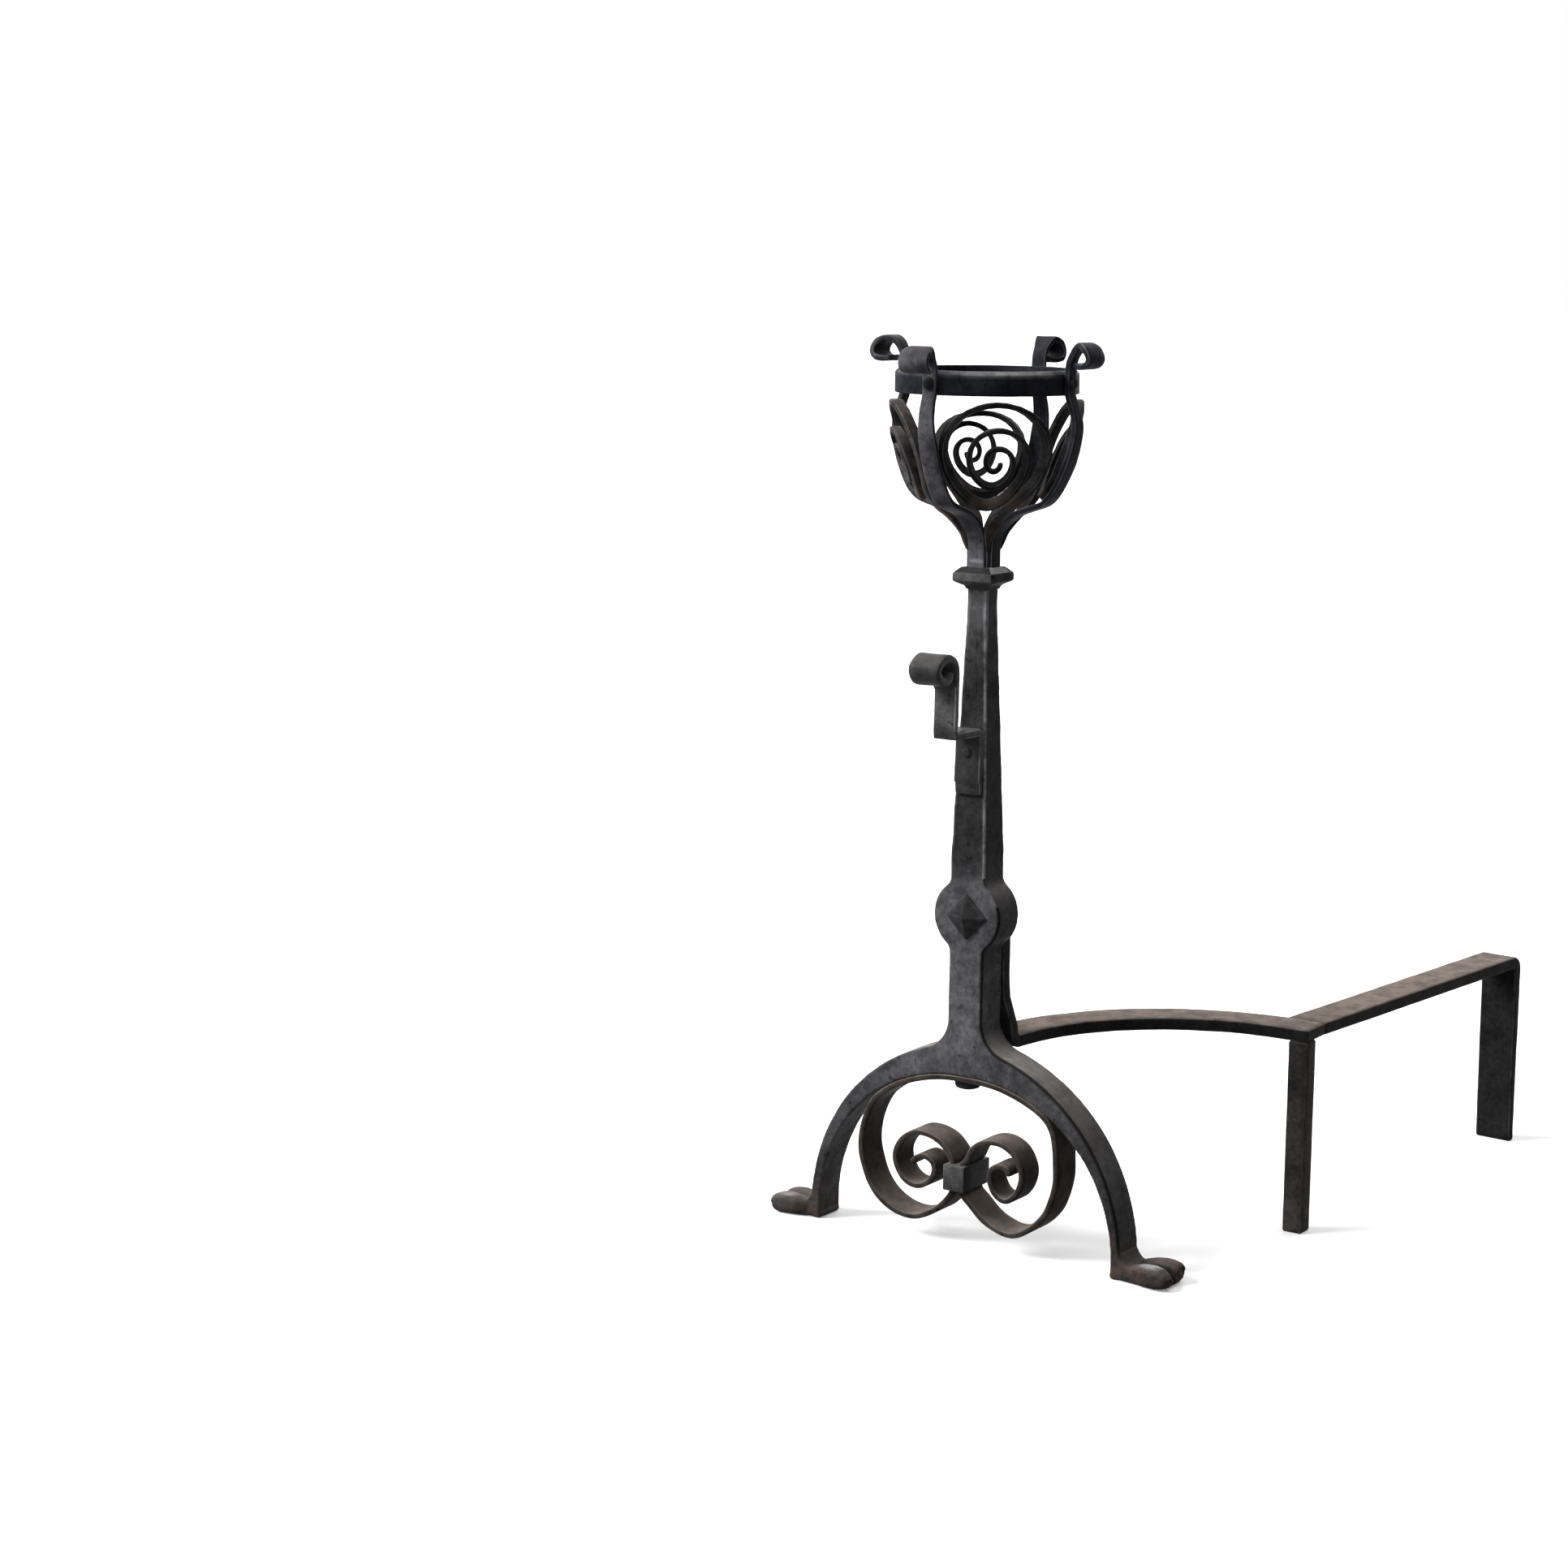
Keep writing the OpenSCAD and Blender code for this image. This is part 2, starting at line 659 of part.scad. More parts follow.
hook_path = concat(
    [[hook_face[0], hook_z - hook_plate_len], [hook_face[1], hook_mid_z - 3]],
    [[hook_face[1] - 0.9, hook_mid_z - 0.9], [hook_face[1] - 3, hook_mid_z],
        [hook_up_y + 3, hook_mid_z], [hook_up_y + 0.9, hook_mid_z + 0.9], [hook_up_y, hook_mid_z + 3]],
    curve([
        [hook_up_y + 0.6, roll_low_z - 6], [hook_up_y, roll_mid_z - 2],
        [hook_up_y - 2.6, roll_top_z - 3], [roll_mid_y, roll_top_z],
        [roll_front_y + 2.4, roll_top_z - 3.4], [roll_front_y, roll_mid_z],
        [roll_front_y + 3, roll_low_z + 2], [roll_mid_y - 2, roll_low_z],
        [roll_mid_y + 2.6, roll_low_z + 1.8], [roll_mid_y + 4, roll_low_z + 5.4]], 4));

module hook_front_outline() {
    plate = hook_plate_w / 2;
    neck = hook_neck_w / 2;
    roll = hook_roll_w / 2;
    low = hook_z - hook_plate_len - 1;
    edge = [[plate - 1, low], [plate, low + 6], [plate, hook_z], [neck, hook_z + 6], [neck, roll_low_z - 6]];
    polygon(concat(
        edge,
        [[neck + 0.4, roll_low_z], [neck + 0.4, roll_top_z + hook_t],
            [neck + 0.4 - 2 * roll, roll_top_z + hook_t], [neck + 0.4 - 2 * roll, roll_low_z - 2]],
        [for (p = reversed(edge)) [-p[0], p[1]]]));
}

module spit_hook() {
    color(iron)
        difference() {
            intersection() {
                side_extrude(2 * hook_roll_w)
                    strip_outline(hook_path, hook_t);
                front_extrude(through)
                    hook_front_outline();
            }
            translate([0, 0, hook_z - hook_rivet_drop])
                rotate([90, 0, 0])
                    cylinder(d = hook_rivet_d + 2 * shank_fit, h = through, center = true);
        }
}

module hook_rivet() {
    half = shaft_half_at(hook_z - hook_rivet_drop);
    front = half + 2 * seat_gap + hook_t + 0.4;
    back = half + 0.4;
    head = 2.5;
    color(iron_dark)
        translate([0, 0, hook_z - hook_rivet_drop]) {
            translate([0, -front - head / 3, 0])
                rotate([-90, 0, 0])
                    cylinder(d = hook_rivet_d, h = front + back + head * 2 / 3);
            translate([0, -front, 0])
                rotate([90, 0, 0])
                    cylinder(d1 = hook_rivet_d + 3, d2 = hook_rivet_d, h = head);
            translate([0, back, 0])
                rotate([-90, 0, 0])
                    cylinder(d1 = hook_rivet_d + 3, d2 = hook_rivet_d, h = head);
        }
}

// ---- Collar: square moulded ring round the feet of the straps ----

strap_in = tang_w / 2 + seat_gap;
strap_out = strap_in + strap_t;
rim_low = shoulder_z - rim_h * 0.65;
bevel_low_z = rim_low - bevel_low_h;
collar_low = bevel_low_z - cove_h;

module collar_outline() {
    half = collar_w / 2;
    neck = shaft_half + seat_gap + 1.4;
    mouth = strap_out + seat_gap + 0.8;
    z = [collar_low, bevel_low_z, rim_low, rim_low + rim_h, rim_low + rim_h + bevel_top_h];
    right = [[neck - 0.8, z[0]], [neck, z[1]], [half, z[2]], [half, z[3]], [mouth, z[4]]];
    polygon(concat(right, [for (p = reversed(right)) [-p[0], p[1]]]));
}

module collar() {
    shaft_hole = shaft_top_w + 2 * seat_gap;
    strap_hole = 2 * (strap_out + seat_gap);
    color(iron)
        difference() {
            intersection() {
                front_extrude(collar_w)
                    collar_outline();
                side_extrude(collar_w)
                    collar_outline();
            }
            translate([-shaft_hole / 2, -shaft_hole / 2, collar_low - 1])
                cube([shaft_hole, shaft_hole, shoulder_z - collar_low + 1]);
            translate([-strap_hole / 2, -strap_hole / 2, shoulder_z])
                cube([strap_hole, strap_hole, through]);
        }
}

// ---- Basket: four straps, a ring riveted inside them, four rosettes between them ----

ring_low = shoulder_z + ring_lift;
ring_top = ring_low + ring_h;
strap_mid = (strap_in + strap_out) / 2;
strap_ring_r = ring_r + seat_gap + strap_t / 2;
belly_mid = belly_r - strap_t / 2;
belly_z = shoulder_z + belly_lift;
floor_z = shoulder_z + floor_lift;

// Direction in which a strap passes the ring
function strap_angle(place) = strap_turns[place] + atan2(strap_leans[place], strap_ring_r);

// Side view of a strap, as distance from the axis and height, from its foot to its rolled end
function strap_path(slim, short, drop) =
    let (out_r = ring_r + roll_reach - short, top_z = ring_top + roll_rise - drop, t = strap_t / 2)
    concat(
        [[strap_mid, shoulder_z + seat_gap]],
        curve([
            [strap_mid, shoulder_z + 11], [strap_mid + 0.3, shoulder_z + 16.5],
            [strap_mid + 1.4, floor_z - 15.7], [strap_mid + 4.4, floor_z - 10.5],
            [strap_mid + 10, floor_z - 4.8], [strap_mid + 16.3, floor_z - 1],
            [belly_mid - 28.9, floor_z + 2], [belly_mid - 19.6 - slim / 2, floor_z + 4.9],
            [belly_mid - 13.5 - slim, floor_z + 9.1], [belly_mid - 8.6 - slim, floor_z + 16.3],
            [belly_mid - 4.4 - slim * 0.7, floor_z + 26], [belly_mid - 1.6 - slim * 0.4, belly_z - 8.7],
            [belly_mid, belly_z + 3], [belly_mid - 1, belly_z + 12],
            [strap_ring_r + 1.2, ring_low - 3], [strap_ring_r, ring_low + 1]], 4),
        curve([
            [strap_ring_r, ring_top - 1], [strap_ring_r + 0.8, top_z - 11], [strap_ring_r + 4.6, top_z - 4.4],
            [(strap_ring_r + out_r) / 2, top_z - t], [out_r - 4.4, top_z - 4],
            [out_r - t, top_z - 9], [out_r - 3.6, top_z - 12.8],
            [out_r - 8.4, top_z - 14], [out_r - 12.2, top_z - 13.2]], 4));

// Half widths of a strap, heights, and shares of its sideways lean
module strap_front_outline(lean) {
    root = strap_in - seat_gap;
    foot = strap_foot_w / 2;
    belly = strap_belly_w / 2;
    neck = strap_neck_w / 2;
    rows = [
        [root, shoulder_z, 0], [root, shoulder_z + 15, 0], [foot, floor_z - 10, 0], [foot, floor_z, 0],
        [belly, belly_z - 8, 0.5], [neck, ring_low - 4, 1], [neck, ring_top + 1, 1]];
    polygon(concat(
        [for (row = rows) [lean * row[2] + row[0], row[1]]],
        [for (row = reversed(rows)) [lean * row[2] - row[0], row[1]]]));
}

// Plan of the rolled end, which widens outward
module roll_plan(short) {
    neck = strap_neck_w / 2 + 0.2;
    roll = strap_roll_w / 2;
    out_r = ring_r + roll_reach - short;
    right = [
        [ring_r - 1, neck], [strap_ring_r + 2.4, neck], [(strap_ring_r + out_r) / 2, (neck + roll) / 2],
        [out_r - 4.4, roll], [out_r + 1, roll]];
    polygon(concat(right, [for (p = reversed(right)) [p[0], -p[1]]]));
}

// Place of the rivet of a strap: level with the middle of the ring, its axis along X
module at_ring_rivet(place) {
    translate([0, strap_leans[place], (ring_low + ring_top) / 2])
        rotate([0, 90, 0])
            children();
}

module ring_rivet_hole(place) {
    at_ring_rivet(place)
        cylinder(d = ring_rivet_d + 2 * shank_fit, h = 2 * ring_r);
}

// Strap turned to its place in the list of straps
module strap(place) {
    color(iron)
        rotate([0, 0, strap_turns[place]])
            difference() {
                intersection() {
                    front_extrude(2 * strap_roll_w)
                        strip_outline(strap_path(strap_slims[place], roll_short[place], roll_drop[place]), strap_t);
                    union() {
                        rotate([0, 0, 90])
                            front_extrude(through)
                                strap_front_outline(strap_leans[place]);
                        translate([0, strap_leans[place], ring_top])
                            linear_extrude(2 * roll_rise)
                                roll_plan(roll_short[place]);
                    }
                }
                ring_rivet_hole(place);
            }
}

module strap_front() { strap(0); }
module strap_right() { strap(1); }
module strap_back() { strap(2); }
module strap_left() { strap(3); }

module basket_ring() {
    in_r = ring_r - ring_t;
    color(iron)
        difference() {
            rotate_extrude($fn = 128)
                polygon([
                    [in_r, ring_low], [ring_r, ring_low], [ring_r, ring_top - ring_bevel],
                    [ring_r - ring_bevel / 1.6, ring_top], [in_r, ring_top]]);
            for (place = [0 : 3])
                rotate([0, 0, strap_turns[place]])
                    ring_rivet_hole(place);
        }
}

module ring_rivets() {
    in_r = ring_r - ring_t + seat_gap;
    out_r = strap_ring_r + strap_t / 2 + seat_gap;
    color(iron_dark)
        for (place = [0 : 3])
            rotate([0, 0, strap_turns[place]])
                at_ring_rivet(place) {
                    translate([0, 0, in_r])
                        cylinder(d = ring_rivet_d, h = out_r - in_r + ring_head_h / 3);
                    translate([0, 0, out_r])
                        cylinder(d1 = ring_head_d, d2 = ring_head_d * 0.6, h = ring_head_h);
                }
}

// ---- Rosettes: a bar that rises between the straps and winds into a spiral on the basket's wall ----

eye_z = shoulder_z + eye_lift;
wall_r = ring_r + 0.6;

// Distance of a rosette bar from the axis at a height above the shoulder
function rose_wall(z) = lookup(z - shoulder_z, [
    [24, 11], [33, 18], [39.5, 26], [43, 31], [47, 36], [53, 40.4], [58, 43.6],
    [64, 46.6], [70.5, wall_r - 4.4], [79, wall_r - 1.8], [88, wall_r - 0.4], [104, wall_r - 1]]);

// How far the wall's outward direction dips below level, in degrees
function rose_dip(z) = lookup(z - shoulder_z, [[24, 25], [38, 62], [46, 46], [56, 32], [70, 18], [84, 2], [104, 0]]);

// Place on the wall at an angle from the middle of the bay
function on_wall(angle, r, z) = [r * cos(angle), r * sin(angle), z];

function out_dir(angle, z) =
    let (dip = rose_dip(z)) [cos(dip) * cos(angle), cos(dip) * sin(angle), -sin(dip)];

// Quarter turns from the eye outward, and the distance from the middle of the eye at each of them
spiral_rows = [
    [8, 24.6], [7, 21], [6, 18.6], [5, 16.2], [4, 13.4],
    [3, 11.4], [2, 8], [1, 6], [0, 4.7], [-1, 3.2]];

// Station of the spiral at n quarter turns: place, outward direction, depth and thickness
function spiral_station(n, r, eye) =
    let (
        a = 90 * (11 - n),
        z = eye_z + r * sin(a),
        angle = (eye + r * cos(a)) * 180 / (PI * wall_r),
        grow = min(1, max(0, n / 8)))
    [on_wall(angle, rose_wall(z), z), out_dir(angle, z),
        rose_tip + (rose_deep - rose_tip) * grow, rose_tip + (rose_thick - rose_tip) * grow];

// Stem below the spiral: share of the spiral's side angle, distance from the axis, height above the shoulder,
// depth, thickness
stem_rows = [
    [0, 11.3, 20, 2.6, 2.8], [0, 13.2, 25.4, 3, 5], [0.13, 17.4, 31, 3, 7.4], [0.3, 22.4, 36, 3.2, 8],
    [0.47, 28.4, 40.4, 3.8, 7], [0.62, 34.4, 45.6, 4.8, 5.4], [0.78, 39.6, 51.4, 6, 4],
    [0.92, 43.8, 57.6, 6.8, 3.2]];

function stem_stations(side_angle) = [
    for (row = curve(stem_rows, 3))
        let (angle = row[0] * side_angle, z = shoulder_z + row[2])
        [on_wall(angle, row[1], z), out_dir(angle, z), row[3], row[4]]];

function rose_stations(eye, size, outer) =
    let (
        rows = concat([for (i = [0 : 2]) [11 - i, outer[i]]], spiral_rows),
        spiral = [for (row = curve(rows, 5)) spiral_station(row[0], row[1] * size, eye)],
        side_angle = (eye + outer[0] * size) * 180 / (PI * wall_r))
    concat(stem_stations(side_angle), spiral);

// Bar of rectangular section swept along a list of stations
module swept_bar(stations) {
    last = len(stations) - 1;
    places = [for (s = stations) s[0]];
    points = [
        for (i = [0 : last])
            let (
                way = heading(places, i),
                out = unit(stations[i][1] - (stations[i][1] * way) * way),
                across = cross(way, out),
                d = stations[i][2] / 2,
                t = stations[i][3] / 2)
            for (k = [[-1, -1], [1, -1], [1, 1], [-1, 1]])
                places[i] + k[0] * t * across + k[1] * d * out];
    faces = concat(
        [[0, 2, 1], [0, 3, 2]],
        [for (i = [0 : last - 1])
            for (k = [0 : 3])
                let (a = 4 * i + k, b = 4 * i + (k + 1) % 4)
                for (f = [[a, b, a + 4], [b, b + 4, a + 4]])
                    f],
        [[4 * last, 4 * last + 1, 4 * last + 2], [4 * last, 4 * last + 2, 4 * last + 3]]);
    polyhedron(points, faces, convexity = 10);
}

// Rosette in the bay that begins at a strap and ends at the next
module rosette(bay) {
    next = bay == 3 ? strap_angle(0) + 360 : strap_angle(bay + 1);
    color(iron_dark)
        rotate([0, 0, (strap_angle(bay) + next) / 2])
            swept_bar(rose_stations(rose_eyes[bay], rose_sizes[bay] * rose_size, rose_outers[bay]));
}

module rosette_front_right() { rosette(0); }
module rosette_back_right() { rosette(1); }
module rosette_back_left() { rosette(2); }
module rosette_front_left() { rosette(3); }

standard();
stud();
curved_arm();
billet_bar();
middle_leg();
base_scroll();
scroll_clip();
crown_rivet();
spit_hook();
hook_rivet();
collar();
strap_front();
strap_right();
strap_back();
strap_left();
basket_ring();
ring_rivets();
rosette_front_right();
rosette_back_right();
rosette_back_left();
rosette_front_left();
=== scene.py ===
import math
import bmesh
import bpy
from mathutils import Matrix, Vector


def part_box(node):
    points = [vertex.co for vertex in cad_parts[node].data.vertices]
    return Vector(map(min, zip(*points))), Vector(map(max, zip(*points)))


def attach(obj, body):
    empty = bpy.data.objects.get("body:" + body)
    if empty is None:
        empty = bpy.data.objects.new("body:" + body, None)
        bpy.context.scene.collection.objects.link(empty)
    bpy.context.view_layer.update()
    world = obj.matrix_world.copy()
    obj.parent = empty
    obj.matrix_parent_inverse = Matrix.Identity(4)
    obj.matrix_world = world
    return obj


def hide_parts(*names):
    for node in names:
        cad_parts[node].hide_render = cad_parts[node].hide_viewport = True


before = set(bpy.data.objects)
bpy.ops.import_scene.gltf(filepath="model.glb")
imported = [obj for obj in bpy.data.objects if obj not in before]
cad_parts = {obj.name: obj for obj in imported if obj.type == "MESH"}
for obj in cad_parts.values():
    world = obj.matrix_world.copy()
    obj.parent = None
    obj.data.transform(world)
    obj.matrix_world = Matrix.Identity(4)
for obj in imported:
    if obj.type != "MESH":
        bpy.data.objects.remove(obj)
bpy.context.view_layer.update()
mm = 0.001  # sizes below are in millimetres, the scene is in metres
xAxis, yAxis, zAxis = Vector((1, 0, 0)), Vector((0, 1, 0)), Vector((0, 0, 1))


# Small helpers: curves and tables

def smoothPath(points, steps):
    # even curve through the points, which may be of any length
    path = []
    last = len(points) - 1
    for i in range(last):
        a, b, c, d = (points[max(i - 1, 0)], points[i], points[i + 1], points[min(i + 2, last)])
        for j in range(steps):
            t = j / steps
            path.append([
                q + t * (r - p) / 2 + t * t * (2 * p - 5 * q + 4 * r - s) / 2
                + t * t * t * (3 * q - p - 3 * r + s) / 2
                for p, q, r, s in zip(a, b, c, d)])
    return path + [list(points[-1])]


def between(x, table):
    # value at x on a table of (x, value) rows
    if x <= table[0][0]:
        return table[0][1]
    for (x0, v0), (x1, v1) in zip(table, table[1:]):
        if x <= x1:
            return v0 + (v1 - v0) * (x - x0) / (x1 - x0)
    return table[-1][1]


def keyed(names, *rows):
    # one dictionary for each row of values
    return [dict(zip(names.split(), row)) for row in rows]


def rampUp(value):
    return min(1, max(0, value))


def cosSin(degrees):
    turn = math.radians(degrees)
    return math.cos(turn), math.sin(turn)


def spoke(degrees):
    # directions away from the shaft's axis and to the side of it, in plan
    c, s = cosSin(degrees)
    return Vector((c, s, 0)), Vector((-s, c, 0))


def headings(places):
    last = len(places) - 1
    return [(places[min(i + 1, last)] - places[max(i - 1, 0)]).normalized() for i in range(last + 1)]


def stationsAlong(rows, across=None):
    # rows of place, width and thickness, with the direction out unless they all lie across one way;
    # a station is place, direction across, direction out, width and thickness
    stations = []
    for (place, wide, thick, *outs), way in zip(rows, headings([row[0] for row in rows])):
        if across:
            stations.append([place, across, across.cross(way).normalized(), wide, thick])
        else:
            out = (outs[0] - way * outs[0].dot(way)).normalized()
            stations.append([place, way.cross(out), out, wide, thick])
    return stations


# Small helpers: the forge

easedEnd = {"cut": 1.4, "round": 0.4}  # shares of a bar's arris at its two ends


def deselectAll():
    if bpy.context.object and bpy.context.object.mode != "OBJECT":
        bpy.ops.object.mode_set(mode="OBJECT")
    bpy.ops.object.select_all(action="DESELECT")


def pick(*pieces):
    deselectAll()
    for piece in pieces:
        piece.select_set(True)
    bpy.context.view_layer.objects.active = pieces[0]


def startPiece(name, add, scale=(1, 1, 1), turnX=0, **settings):
    # a new primitive with its place in its mesh, open for editing and selected all over
    deselectAll()
    add(**settings)
    piece = bpy.context.object
    piece.name = name
    piece.scale = scale
    piece.rotation_euler.x = math.radians(turnX)
    bpy.ops.object.transform_apply(location=True, rotation=True, scale=True)
    bpy.ops.object.mode_set(mode="EDIT")
    bpy.ops.mesh.select_all(action="SELECT")
    return piece


def onAll(operator, **settings):
    bpy.ops.mesh.select_all(action="SELECT")
    operator(**settings)


def endEditing():
    onAll(bpy.ops.mesh.normals_make_consistent, inside=False)
    bpy.ops.object.mode_set(mode="OBJECT")


def extrudeBy(x, y, z):
    bpy.ops.mesh.extrude_region_move(TRANSFORM_OT_translate={"value": (x, y, z)})


def applyModifier(piece, kind, **settings):
    pick(piece)
    bpy.ops.object.modifier_add(type=kind)
    modifier = piece.modifiers[-1]
    for name, value in settings.items():
        setattr(modifier, name, value)
    bpy.ops.object.modifier_apply(modifier=modifier.name)


def barSection(columns, rows, rounds):
    # one ring of a bar: share of its half width and half thickness, and the turn of its rounded arris
    ring = []
    corners = ((1, -1, -90, rows), (1, 1, 0, columns), (-1, 1, 90, rows), (-1, -1, 180, columns))
    for number, (fx, fy, start, extra) in enumerate(corners):
        ring += [(fx, fy, *cosSin(start + 90 * k / rounds)) for k in range(rounds + 1)]
        nextX, nextY = corners[(number + 1) % 4][:2]
        for k in range(extra):
            share = (k + 1) / (extra + 1)
            ring.append((fx + (nextX - fx) * share, fy + (nextY - fy) * share, *cosSin(start + 90)))
    return ring


def seatRing(bar, ring, station, arris):
    # the selected ring of the bar is set on a station
    place, across, out, wide, thick = station
    mesh = bmesh.from_edit_mesh(bar.data)
    number = mesh.verts.layers.int["number"]
    for v in mesh.verts:
        if v.select:
            fx, fy, bx, by = ring[v[number]]
            x = fx * (wide / 2 - arris) + bx * arris
            y = fy * (thick / 2 - arris) + by * arris
            v.co = (place + across * x + out * y) * mm
    bmesh.update_edit_mesh(bar.data)


def drawOut(name, stations, arris, columns=3, rows=1, rounds=2):
    # a bar is drawn out of its first section and set on its path ring by ring, with eased ends
    ring = barSection(columns, rows, rounds)
    first, last = stations[0], stations[-1]
    ways = headings([s[0] for s in stations])
    cut = easedEnd["cut"] * arris
    start, end = ([*s[:3], s[3] - cut, s[4] - cut] for s in (first, last))
    eased = [
        start, [first[0] + ways[0] * arris, *first[1:]], *stations[1:-1],
        [last[0] - ways[-1] * arris, *last[1:]], end]
    bar = startPiece(
        name, bpy.ops.mesh.primitive_circle_add, vertices=len(ring), radius=first[3] / 2 * mm,
        fill_type="NGON")
    mesh = bmesh.from_edit_mesh(bar.data)
    mesh.verts.layers.int.new("number")
    worn = mesh.verts.layers.float.new("arris")
    number = mesh.verts.layers.int["number"]
    mesh.verts.ensure_lookup_table()
    for v in mesh.verts:
        v[number] = v.index
        # rounded arrises are marked for rubbed wear and painted highlight
        v[worn] = 1 if abs(ring[v.index][2] * ring[v.index][3]) > 0.1 else 0
    bmesh.update_edit_mesh(bar.data)
    endArris = easedEnd["round"] * arris
    seatRing(bar, ring, eased[0], endArris)
    for i, station in enumerate(eased[1:]):
        extrudeBy(*(station[0] - eased[i][0]) * mm)
        seatRing(bar, ring, station, endArris if i == len(eased) - 2 else arris)
    endEditing()
    bar.data.attributes.remove(bar.data.attributes["number"])
    return bar


def joinPieces(name, pieces):
    pick(*pieces)
    bpy.ops.object.join()
    whole = bpy.context.object
    whole.name = name
    return whole


def hammer(piece, *dents):
    # shallow, uneven faces left by the hammer, each given by its depth and size
    for depth, size in dents:
        texture = bpy.data.textures.new(piece.name + "Dents", "CLOUDS")
        texture.noise_scale = size * mm
        applyModifier(
            piece, "DISPLACE", texture=texture, strength=depth * mm, mid_level=0.5,
            texture_coords="LOCAL")


def markArris(piece, share):
    # how far each place of the piece belongs to an arris, from its place in millimetres: rubbed wear with
    # painted highlight above nought, painted shade below
    layer = piece.data.attributes.new("arris", "FLOAT", "POINT")
    for v in piece.data.vertices:
        layer.data[v.index].value = share(v.co / mm)


def keepOnHearth(piece):
    # nothing sinks under the level that the andiron stands on
    for v in piece.data.vertices:
        v.co.z = max(v.co.z, 0)


def finishPiece(piece, material, slot, *replaced, angle=50):
    pick(piece)
    bpy.ops.object.shade_smooth_by_angle(angle=math.radians(angle))
    piece.data.materials.clear()
    piece.data.materials.append(material)
    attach(piece, "root")
    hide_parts(*replaced)
    print("made", piece.name, len(piece.data.polygons), "faces")


# Finishes: blackened iron, hammered, rubbed on its arrises with painted highlight there, painted shade in
# clefts, and a little rusty where it faces up. The tables by height are rows of height over the hearth and
# level; the tables for the faces that look right paint light and shade on them.

def finish(*basics, **more):
    # two tones of iron, the tone of the rust, and the shares of rust and of rubbed arrises with painted
    # highlight
    return {**keyed("dark light rust rustShare rubShare", basics)[0], **more}


finishes = {
    "forged": finish(
        (0.044, 0.044, 0.047), (0.102, 0.101, 0.106), (0.2, 0.183, 0.168), 0.9, 0.8, damp=0.8,
        # painted shade towards the right-hand end of the piece
        farRight=0.72, byHeight=[
            (0, 0.55), (40, 0.6), (75, 0.62), (96, 0.85), (120, 1), (186, 1), (196, 0.95), (222, 0.9),
            (236, 0.38), (262, 0.31), (300, 0.34), (341, 0.38), (362, 0.6), (385, 0.85)],
        # painted light low down and painted shade by the swelling on faces that look right; painted light
        # on the left leg's inner face
        rightByHeight=[(0, 1.3), (70, 1.3), (100, 1), (175, 1), (186, 0.6), (222, 0.6), (236, 0.9)],
        innerByHeight=[(0, 2.4), (80, 2.4), (104, 1)]),
    "billet": finish((0.009, 0.009, 0.0095), (0.018, 0.017, 0.0165), (0.13, 0.099, 0.081), 0.95, 0.2),
    "leg": finish(
        (0.017, 0.016, 0.0155), (0.038, 0.034, 0.032), (0.08, 0.07, 0.065), 0.4, 0.15, damp=0.35,
        byHeight=[(0, 2.3), (50, 1.5), (90, 1)]),
    "band": finish((0.02, 0.018, 0.0175), (0.052, 0.044, 0.04), (0.14, 0.11, 0.093), 0.9, 0.04),
    "hook": finish(
        (0.04, 0.04, 0.042), (0.095, 0.094, 0.097), (0.13, 0.118, 0.11), 0.5, 0.9, specular=0.05,
        byHeight=[(0, 0.85), (60, 0.85), (312, 0.45), (322, 0.95), (340, 0.9), (346, 0.72)],
        # painted shade on the clip's face that looks right
        rightByHeight=[(0, 0.3), (60, 0.3), (70, 1)]),
    "collar": finish(
        (0.026, 0.026, 0.028), (0.08, 0.078, 0.08), (0.06, 0.058, 0.058), 0.6, 0.7,
        # painted shade on the faces that look right
        rightByHeight=[(0, 0.6)]),
    "strap": finish(
        (0.032, 0.032, 0.038), (0.105, 0.103, 0.112), (0.11, 0.1, 0.098), 0.35, 0.35,
        # painted shade on the faces that look right
        rightByHeight=[(0, 0.4)]),
    "ring": finish(
        (0.013, 0.014, 0.018), (0.03, 0.031, 0.038), (0.08, 0.076, 0.076), 0.4, 0.5,
        # painted shade on the faces that look right
        rightByHeight=[(0, 0.5)]),
    "rosette": finish(
        (0.006, 0.006, 0.007), (0.032, 0.031, 0.032), (0.04, 0.032, 0.029), 0.25, 0.3,
        copper=(0.1, 0.068, 0.056)),
    # painted light: a paler copy of the rosette iron, with a stronger copper patch
    "paleRosette": finish(
        (0.014, 0.013, 0.0135), (0.074, 0.068, 0.066), (0.12, 0.1, 0.09), 0.5, 0.3,
        copper=(0.17, 0.11, 0.085)),
    "rivet": finish((0.018, 0.018, 0.02), (0.04, 0.038, 0.039), (0.07, 0.056, 0.049), 0.4, 0.4)}
# what all the finishes share: sizes of their patterns, depths of their bumps, and three tones: the damp,
# the painted shade of the clefts, and the rubbed arrises with painted highlight
surface = {
    "clouds": 26, "mottle": 7, "speckle": 3, "pits": 5, "rust": 11, "copper": 19, "damp": 12,
    "rubbed": 13, "rough": 6, "dents": 10, "dentDeep": 0.4, "grain": 1.8, "grainDeep": 0.1,
    "specular": 0.012, "tallest": 600, "dampTone": (0.07, 0.048, 0.038),
    "cleftTone": (0.006, 0.0055, 0.0055), "rubbedTone": (0.36, 0.36, 0.365)}


def nodeMaker(tree):
    # makes a node in the tree from its kind, wanted output, inputs and settings
    def made(kind, out, inputs, **settings):
        node = tree.nodes.new("ShaderNode" + kind)
        for name, value in settings.items():
            setattr(node, name, value)
        fill(tree, node, inputs)
        return node.outputs[out]
    return made


def fill(tree, node, inputs):
    # an input is a number, a colour or the output of another node
    for name, value in inputs.items():
        if hasattr(value, "is_output"):
            tree.links.new(value, node.inputs[name])
        else:
            node.inputs[name].default_value = (*value, 1) if isinstance(value, tuple) else value


